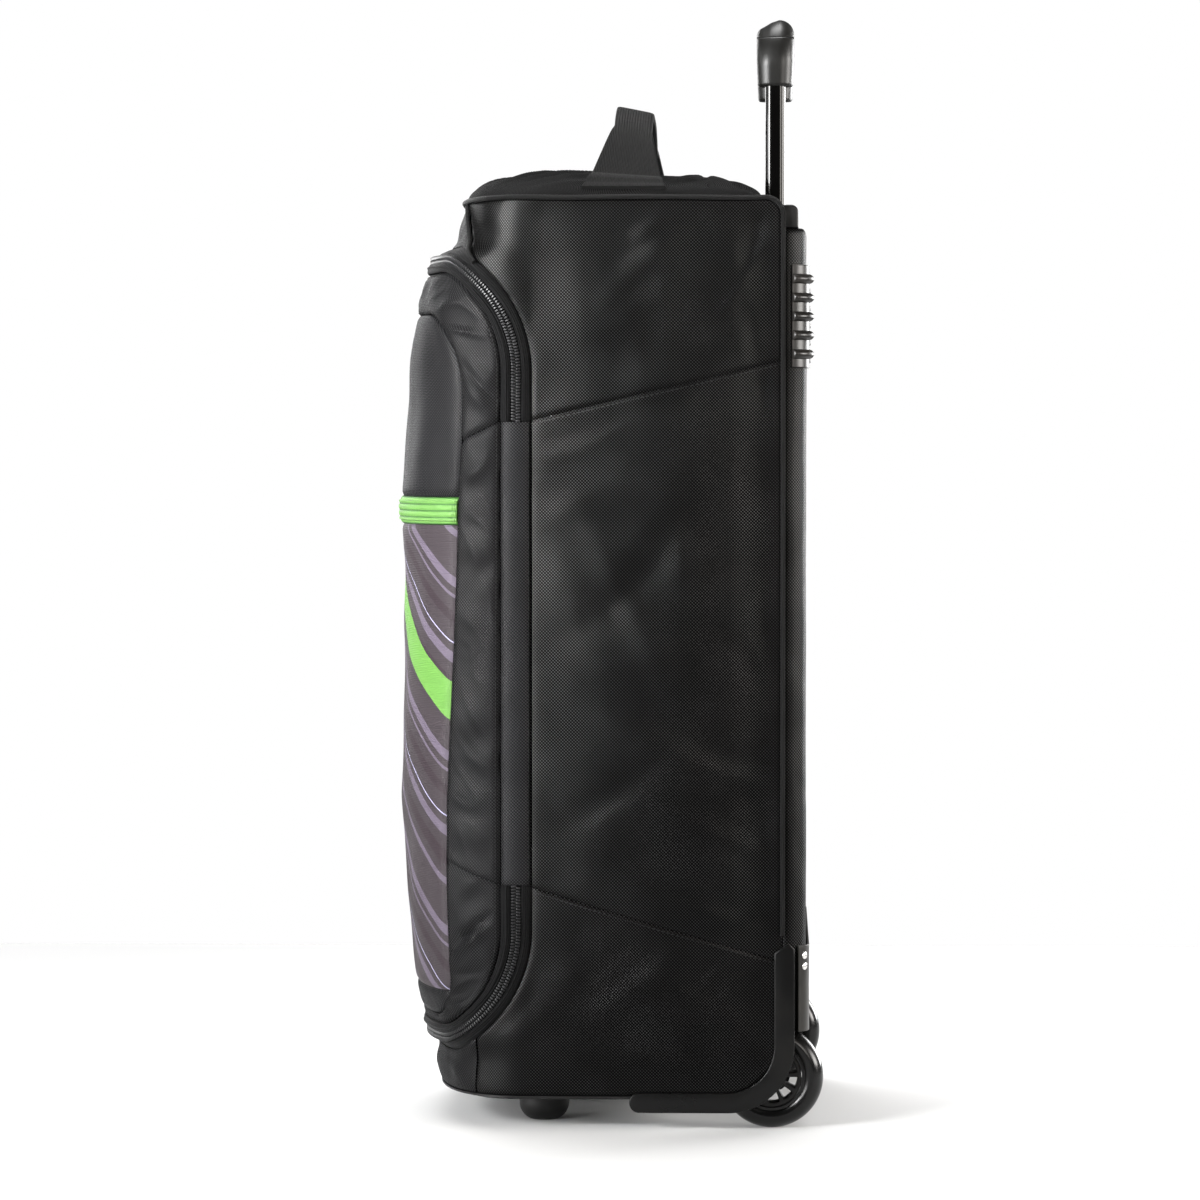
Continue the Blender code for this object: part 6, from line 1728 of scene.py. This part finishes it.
def grip_rings():
    """Rings of the grip: a rounded oblong carried up one leg, over the bar and down the other."""
    crest = GRIP_TOP_Z - 0.5 * GRIP_THICK
    rows = [(TUBE_X, z, 0.0) for z in np.linspace(GRIP_FOOT_Z, crest - GRIP_BEND, 14)[:-1]]
    for turn in quarter(26):
        rows.append((TUBE_X - GRIP_BEND * (1.0 - math.cos(turn)),
                     crest - GRIP_BEND * (1.0 - math.sin(turn)), turn))
    rows += [(x, crest, 0.5 * math.pi)
             for x in np.linspace(TUBE_X - GRIP_BEND, 0.0, 30)[1:]]
    rows += [(-x, z, math.pi - turn) for x, z, turn in reversed(rows[:-1])]
    shape = rounded_box(GRIP_THICK, GRIP_DEEP, GRIP_CORNER, 12)
    rings = []
    for x, z, turn in rows:
        level = math.sin(turn)
        over = np.maximum(shape[:, 0], 0.0) / (0.5 * GRIP_THICK)
        ahead = ((GRIP_SLANT_START - shape[:, 1]) / GRIP_SLANT_REACH).clip(0.0, 1.0)
        drop = GRIP_SLANT * level * over * ahead * ahead * (3.0 - 2.0 * ahead)
        foot = np.clip((GRIP_FOOT_Z + 0.020 - z) / 0.020, 0.0, 1.0)
        out = shape[:, 0] - drop - GRIP_TAPER * foot * np.sign(shape[:, 0])
        deep = shape[:, 1] * (1.0 - 0.06 * foot)
        edge = max(0.0, 1.0 - (z - GRIP_FOOT_Z) / 0.0016) ** 2 * 0.0010
        out = out * (1.0 - edge / (0.5 * GRIP_THICK))
        deep = deep * (1.0 - edge / (0.5 * GRIP_DEEP))
        rings.append(np.column_stack([x + out * math.cos(turn),
                                      np.full(len(out), TUBE_Y) + deep,
                                      z + out * math.sin(turn)]))
    return np.array(rings)


grip = loft("handle_grip", grip_rings(), grip_plastic, 40.0)
socket = rounded_box(TUBE_WIDE + 2.0 * GAP, TUBE_DEEP + 2.0 * GAP, TUBE_CORNER + GAP)
cutters = [peg(socket, side * TUBE_X, TUBE_Y, GRIP_FOOT_Z - 0.01, GRIP_FOOT_Z + SOCKET_DEPTH)
           for side in SIDES.values()]
button_y = TUBE_Y + BUTTON_SETBACK
pocket = rounded_box(BUTTON_LENGTH + 2.0 * GAP, BUTTON_WIDTH + 2.0 * GAP, 0.003)
cutters.append(peg(pocket, 0.0, button_y, GRIP_TOP_Z - BUTTON_DEPTH, GRIP_TOP_Z + 0.01))
cut_by(grip, cutters)
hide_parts("handle_grip")
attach(grip, "trolley_handle")

button_plastic = moulded("moulded ABS push button", "0f0f10", "1e1e1e", 0.34, 0.5, 0.03)
face = rounded_box(BUTTON_LENGTH, BUTTON_WIDTH, 0.0028)
button_low = GRIP_TOP_Z - BUTTON_DEPTH + GAP
button_top = GRIP_TOP_Z - BUTTON_SINK
button = loft("release_button", upright_rings(face, 0.0, button_y, [
    (button_low, 0.0), (button_top - 0.0008, 0.0), (button_top - 0.0003, -0.0003),
    (button_top, -0.0009), (button_top, -0.0020), (button_top - 0.0005, -0.0028),
    (button_top - 0.0005, -0.0040)]), button_plastic, 35.0)
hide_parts("release_button")
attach(button, "trolley_handle")


# Corner skids. Moulded polypropylene runners wrap the rear corners below the plate. Five
# round ribs stand out of each, with rounded ends.

SKID_LOW_Z = 0.600
SKID_HEIGHT = 0.081
SKID_RIBS = 5
SKID_BASE = 0.0015
SKID_RIB = 0.0042
SKID_START_DEG = 20.0
SKID_END_DEG = 88.0
SKID_END_ROUND = 0.004

# Worn smooth: browner and glossier than the plate, with long highlights on its ribs.
skid_plastic = moulded("moulded polypropylene, worn smooth", "121110", "2a2623", 0.30, 0.9, 0.04)


def round_corner(side, turns, z, reach):
    """Points about a rear corner's upright axis: turns from sideways to back, heights, reach."""
    turns, z, reach = np.broadcast_arrays(turns, z, reach)
    return np.stack([side * (HALF_WIDTH - CORNER_RADIUS + reach * np.cos(turns)),
                     REAR_SEAM_Y + GAP + reach * np.sin(turns), z], axis=-1)


for word, side in SIDES.items():
    turns = np.radians(np.linspace(SKID_START_DEG, SKID_END_DEG, 48))[None, :]
    rise = np.linspace(0.0, SKID_HEIGHT, 160)[:, None]
    pitch = SKID_HEIGHT / (SKID_RIBS + 0.5)
    wave = np.cos(2.0 * math.pi * (rise - 0.75 * pitch) / pitch)
    seat = CORNER_RADIUS + 2.0 * GAP
    far_end = (seat * np.minimum(turns - turns.min(), turns.max() - turns) / SKID_END_ROUND)
    swell = np.sqrt(1.0 - (1.0 - far_end.clip(0.0, 1.0)) ** 2)
    rim = np.minimum(rise, SKID_HEIGHT - rise) / 0.0009
    base = SKID_BASE * (0.35 + 0.65 * np.sqrt(1.0 - (1.0 - rim.clip(0.0, 1.0)) ** 2))
    depth = base + SKID_RIB * np.sqrt(wave.clip(0.0)) * swell
    outer = round_corner(side, turns, SKID_LOW_Z + rise, seat + depth)
    inner = round_corner(side, turns, SKID_LOW_Z + rise, seat + 0.0 * depth)
    across, down = rows_length(outer)
    skid = wall("corner_skid_" + word, outer, inner, np.stack([across, down], axis=-1),
                skid_plastic)
    face_outwards(skid)
    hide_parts("corner_skid_" + word)
    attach(skid, "bag")


# Wheels. Two skate wheels of glossy black urethane on moulded hubs with ten windows, each on a
# steel bolt. Tyre and bolt are profiles turned about the axle; the hub is a flat wheel with
# windows, thickened and with its edges rounded.

WHEEL_WIDTH = 0.024
WHEEL_X = 0.158
TYRE_BORE = 0.024
TYRE_BEAD = 0.88
TYRE_SHOULDER = 1.25
HUB_WIDTH = 0.020
HUB_RING = 0.0205
HUB_BOSS = 0.0115
HUB_WINDOWS = 10
SPOKE_SHARE = 0.30
HUB_EDGE = 0.0005
AXLE_RADIUS = 0.004
AXLE_HEAD_RADIUS = 0.007
AXLE_HEAD_HEIGHT = 0.003
AXLE_SOCKET_DEPTH = 0.0023
TRAY_WALL = 0.003
BRACKET_GAP = 0.003
BRACKET_WIDTH = 0.030


def turned(name, profile, centre, way, material, sides=120, closed=False):
    """A profile of radius and distance turned about an axis, ends closed or the profile a loop."""
    way = np.asarray(way, float)
    across = np.cross(way, (0.0, 0.0, 1.0)) if abs(way[2]) < 0.9 else np.array([0.0, 1.0, 0.0])
    turn = np.linspace(0.0, 2.0 * math.pi, sides + 1)[:-1, None]
    spokes = np.cos(turn) * across + np.sin(turn) * np.cross(way, across)
    rings = np.array([np.asarray(centre) + far * way + radius * spokes for radius, far in profile])
    if not closed:
        return loft(name, rings, material, 35.0)
    rings = np.concatenate([rings, rings[:1]])
    faces = grid_faces(len(rings), sides, 0, True)
    faces = np.where(faces >= (len(rings) - 1) * sides, faces - (len(rings) - 1) * sides, faces)
    points = rings[:-1].reshape(-1, 3)
    thing = make_mesh(name, points, faces.tolist(), points[:, 1:], material, 35.0)
    face_outwards(thing)
    return thing


# The tyre shines like poured urethane, the hub is a duller nylon, and the bolts are bright zinc.
tyre_rubber = moulded("glossy black urethane", "040404", "0b0a09", 0.20, 2.5, 0.012, level=0.3)
hub_plastic = moulded("moulded nylon hub", "0e0e0e", "1c1b1a", 0.38, 0.7, 0.03)
zinc_steel = anodised("zinc plated steel", "c9c8c5", "e6e5e2", 0.22)
half = 0.5 * WHEEL_WIDTH
lean = np.linspace(-TYRE_SHOULDER, TYRE_SHOULDER, 49)
tread = np.column_stack([WHEEL_RADIUS - half * (1.0 - np.cos(lean)),
                         half * np.sin(lean) / math.sin(TYRE_SHOULDER)])
bead = np.array([(TYRE_BORE + 0.0004, 1.0), (TYRE_BORE, 0.985), (TYRE_BORE, -0.985),
                 (TYRE_BORE + 0.0004, -1.0)]) * (1.0, TYRE_BEAD * half)
lip = np.array([(TYRE_BORE + 0.0030, TYRE_BEAD * half + 0.0001),
                (TYRE_BORE + 0.0025, TYRE_BEAD * half - 0.0004)])
tyre_profile = np.concatenate([tread, lip, bead, lip[::-1] * (1.0, -1.0)])
bolt_start = -half - BRACKET_GAP - TRAY_WALL - AXLE_HEAD_HEIGHT - GAP
bolt_end = HALF_WIDTH + AXLE_SOCKET_DEPTH - WHEEL_X
neck = bolt_start + AXLE_HEAD_HEIGHT
bolt_profile = [
    (AXLE_HEAD_RADIUS - 0.0012, bolt_start), (AXLE_HEAD_RADIUS - 0.0004, bolt_start + 0.0003),
    (AXLE_HEAD_RADIUS, bolt_start + 0.0010), (AXLE_HEAD_RADIUS, neck - 0.0002),
    (AXLE_HEAD_RADIUS - 0.0002, neck), (AXLE_RADIUS, neck), (AXLE_RADIUS, bolt_end - 0.0004),
    (AXLE_RADIUS - 0.0004, bolt_end)]
for word, side in SIDES.items():
    centre = (side * WHEEL_X, AXLE_Y, WHEEL_RADIUS)
    tyre = turned("wheel_tyre_" + word, tyre_profile, centre, (side, 0.0, 0.0), tyre_rubber,
                  closed=True)
    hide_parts("wheel_tyre_" + word)
    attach(tyre, "wheel_" + word)
    bolt = turned("axle_bolt_" + word, bolt_profile, centre, (side, 0.0, 0.0), zinc_steel, 64)
    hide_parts("axle_bolt_" + word)
    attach(bolt, "bag")

    pitch = 2.0 * math.pi / HUB_WINDOWS
    parts = np.concatenate([np.linspace(0.0, SPOKE_SHARE, 4)[:-1],
                            np.linspace(SPOKE_SHARE, 1.0, 8)[:-1]])
    angles = (np.arange(HUB_WINDOWS)[:, None] + parts).ravel() * pitch
    radii = [AXLE_RADIUS + GAP, HUB_BOSS, HUB_RING, TYRE_BORE - GAP]
    points = np.array([[(centre[0], centre[1] + r * math.cos(a), centre[2] + r * math.sin(a))
                        for a in angles] for r in radii]).reshape(-1, 3)
    faces = grid_faces(4, len(angles), 0, True).reshape(3, len(angles), 4)
    spoke = np.arange(len(angles)) % len(parts) < 3
    kept = np.concatenate([faces[0], faces[1][spoke], faces[2]])
    hub = make_mesh("wheel_hub_" + word, points, kept.tolist(), points[:, 1:], hub_plastic, 35.0)
    thick = hub.modifiers.new("width", "SOLIDIFY")
    thick.thickness = HUB_WIDTH
    thick.offset = 0.0
    edge = hub.modifiers.new("edges", "BEVEL")
    edge.width = HUB_EDGE
    edge.segments = 3
    edge.limit_method = "ANGLE"
    edge.angle_limit = math.radians(40.0)
    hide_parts("wheel_hub_" + word)
    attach(hub, "wheel_" + word)


# Base. Rails of steel plate with a satin powder coat turn the lower rear corners, and hangers
# of the same steel hold the wheels under the moulded tray. Each is an outline in y and z with
# its rims rounded. The kick plate wraps both corners and is riveted to them, and two dome feet
# hold the front up.

RAIL_THICKNESS = 0.0035
RAIL_FRONT_Y = 0.019
RAIL_CHAMFER = 0.0047
RAIL_TOP_SLANT = 0.0079
KICK_PLATE_THICKNESS = 0.0015
KICK_PLATE_TOP_Z = 0.146
RIVET_RADIUS = 0.003
RIVET_HEIGHT = 0.0015
RIVET_SPACING = 0.0085
RIVET_TOP_Z = 0.138
RIVET_TURN = math.radians(54.0)
FOOT_X = 0.111
FOOT_Y = -0.051
FOOT_RADIUS = 0.020
FOOT_FLAT = 0.008
FOOT_DOME_SHARE = 0.6

# The powder coat is satin with a warm cast, and the kick plate's paint is greyer and worn.
powder_coat = moulded("satin black powder coat on steel", "050505", "100f0d", 0.28, 0.9, 0.03)
plate_coat = moulded("satin grey-black paint on steel", "201f1d", "302d2a", 0.30, 1.1, 0.03)


def arc(centre, radius, low_deg, high_deg, count):
    """Points in y and z of a round about a centre, from one angle to another."""
    turn = np.radians(np.linspace(low_deg, high_deg, count))
    return np.column_stack([centre[0] + radius * np.cos(turn), centre[1] + radius * np.sin(turn)])


bend = (RAIL_REAR_Y - RAIL_OUTER_BEND, RAIL_LOW_Z + RAIL_OUTER_BEND)
end = 0.5 * RAIL_WIDTH
rail_shape = fine_outline(np.concatenate([
    [(RAIL_REAR_Y, RAIL_TOP_Z - RAIL_CHAMFER), (RAIL_REAR_Y - RAIL_CHAMFER, RAIL_TOP_Z),
     (RAIL_REAR_Y - RAIL_WIDTH, RAIL_TOP_Z - RAIL_TOP_SLANT)],
    arc(bend, RAIL_OUTER_BEND - RAIL_WIDTH, 0.0, -90.0, 40),
    arc((RAIL_FRONT_Y + end, RAIL_LOW_Z + end), end, 90.0, 270.0, 24),
    arc(bend, RAIL_OUTER_BEND, -90.0, 0.0, 48)]), 0.006)
roof = 2.0 * WHEEL_RADIUS + WHEEL_ROOM
hanger_half = 0.5 * BRACKET_WIDTH
hanger_shape = fine_outline(np.concatenate([
    [(AXLE_Y + hanger_half, roof - GAP), (AXLE_Y - hanger_half, roof - GAP)],
    arc((AXLE_Y, WHEEL_RADIUS), hanger_half, 180.0, 360.0, 40)]), 0.006)
for word, side in SIDES.items():
    low = HALF_WIDTH + GAP
    inner = WHEEL_X - half - BRACKET_GAP
    plates = [("base_rail_", rail_shape, low, low + RAIL_THICKNESS, low + AXLE_SOCKET_DEPTH, 0.0007),
              ("wheel_bracket_", hanger_shape, inner - TRAY_WALL, inner, inner + 0.001, 0.0004)]
    for name, shape, near, far, hole_end, rim in plates:
        xs = sorted((side * near, side * far))
        plate = loft(name + word, bar_rings(shape, *xs, rim), powder_coat, 35.0)
        hole = turned("hole", [(AXLE_RADIUS + GAP, near - 0.01), (AXLE_RADIUS + GAP, hole_end)],
                      (0.0, AXLE_Y, WHEEL_RADIUS), (side, 0.0, 0.0), powder_coat, 64)
        cut_by(plate, [hole])
        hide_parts(name + word)
        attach(plate, "bag")

seat = CORNER_RADIUS + 2.0 * GAP
turns = np.radians(np.linspace(36.0, 90.0, 40))
rows = np.concatenate([np.linspace(0.0, 0.0006, 5), np.linspace(0.004, 0.032, 8)])
rows = np.concatenate([rows, KICK_PLATE_TOP_Z - BACK_LOW_Z - rows[::-1]])
rim = (np.minimum(rows, rows[::-1]) / 0.0006).clip(0.0, 1.0)
sheets = []
for thickness in (KICK_PLATE_THICKNESS, 0.0):
    grid = []
    for rise, share in zip(rows, rim):
        drop = 0.0006 * (1.0 - math.sqrt(1.0 - (1.0 - share) ** 2)) if thickness else 0.0
        right = round_corner(1.0, turns, BACK_LOW_Z + rise, seat + thickness - drop)
        across = np.linspace(right[-1, 0], 0.0, 40)[1:, None]
        middle = np.column_stack([across, np.full_like(across, right[-1, 1]),
                                  np.full_like(across, right[-1, 2])])
        grid.append(mirrored(np.concatenate([right, middle])) + (0.0, GAP, 0.0))
    sheets.append(np.array(grid))
across, down = rows_length(sheets[0])
kick = wall("kick_plate", sheets[0], sheets[1], np.stack([across, down], axis=-1), plate_coat)
face_outwards(kick)
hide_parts("kick_plate")
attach(kick, "bag")

foot_top = FLOOR_Z - GAP
lean = quarter(28)
foot_profile = np.column_stack([FOOT_FLAT + (FOOT_RADIUS - FOOT_FLAT) * np.sin(lean),
                                foot_top * FOOT_DOME_SHARE * (1.0 - np.cos(lean))])
foot_profile = np.concatenate([foot_profile, [(FOOT_RADIUS, foot_top - 0.0006),
                                              (FOOT_RADIUS - 0.0006, foot_top)]])
foot_rubber = moulded("moulded black rubber", "131313", "222120", 0.42, 0.9, 0.04)
lean = quarter(14)
rivet_profile = np.column_stack([RIVET_RADIUS * np.cos(lean),
                                 0.0003 + (RIVET_HEIGHT - 0.0003) * np.sin(lean)])[:-1]
rivet_profile = np.concatenate([[(RIVET_RADIUS, 0.0)], rivet_profile])
for word, side in SIDES.items():
    foot = turned("foot_" + word, foot_profile, (side * FOOT_X, FOOT_Y, 0.0), (0.0, 0.0, 1.0),
                  foot_rubber, 72)
    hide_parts("foot_" + word)
    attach(foot, "bag")
    for number in (1, 2):
        z = RIVET_TOP_Z - (number - 1) * RIVET_SPACING
        spot = round_corner(side, RIVET_TURN, z, seat + KICK_PLATE_THICKNESS + GAP)
        way = (side * math.cos(RIVET_TURN), math.sin(RIVET_TURN), 0.0)
        name = "rivet_%s_%d" % (word, number)
        rivet = turned(name, rivet_profile, spot, way, zinc_steel, 48)
        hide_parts(name)
        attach(rivet, "bag")

tray_plastic = moulded("moulded polypropylene tray", "121212", "242322", 0.44, 1.2, 0.06)
for name, material in (("wheel_tray", tray_plastic), ("outer_tube_right", black_anodised),
                       ("outer_tube_left", black_anodised)):
    nodes[name].material_slots[0].material = material
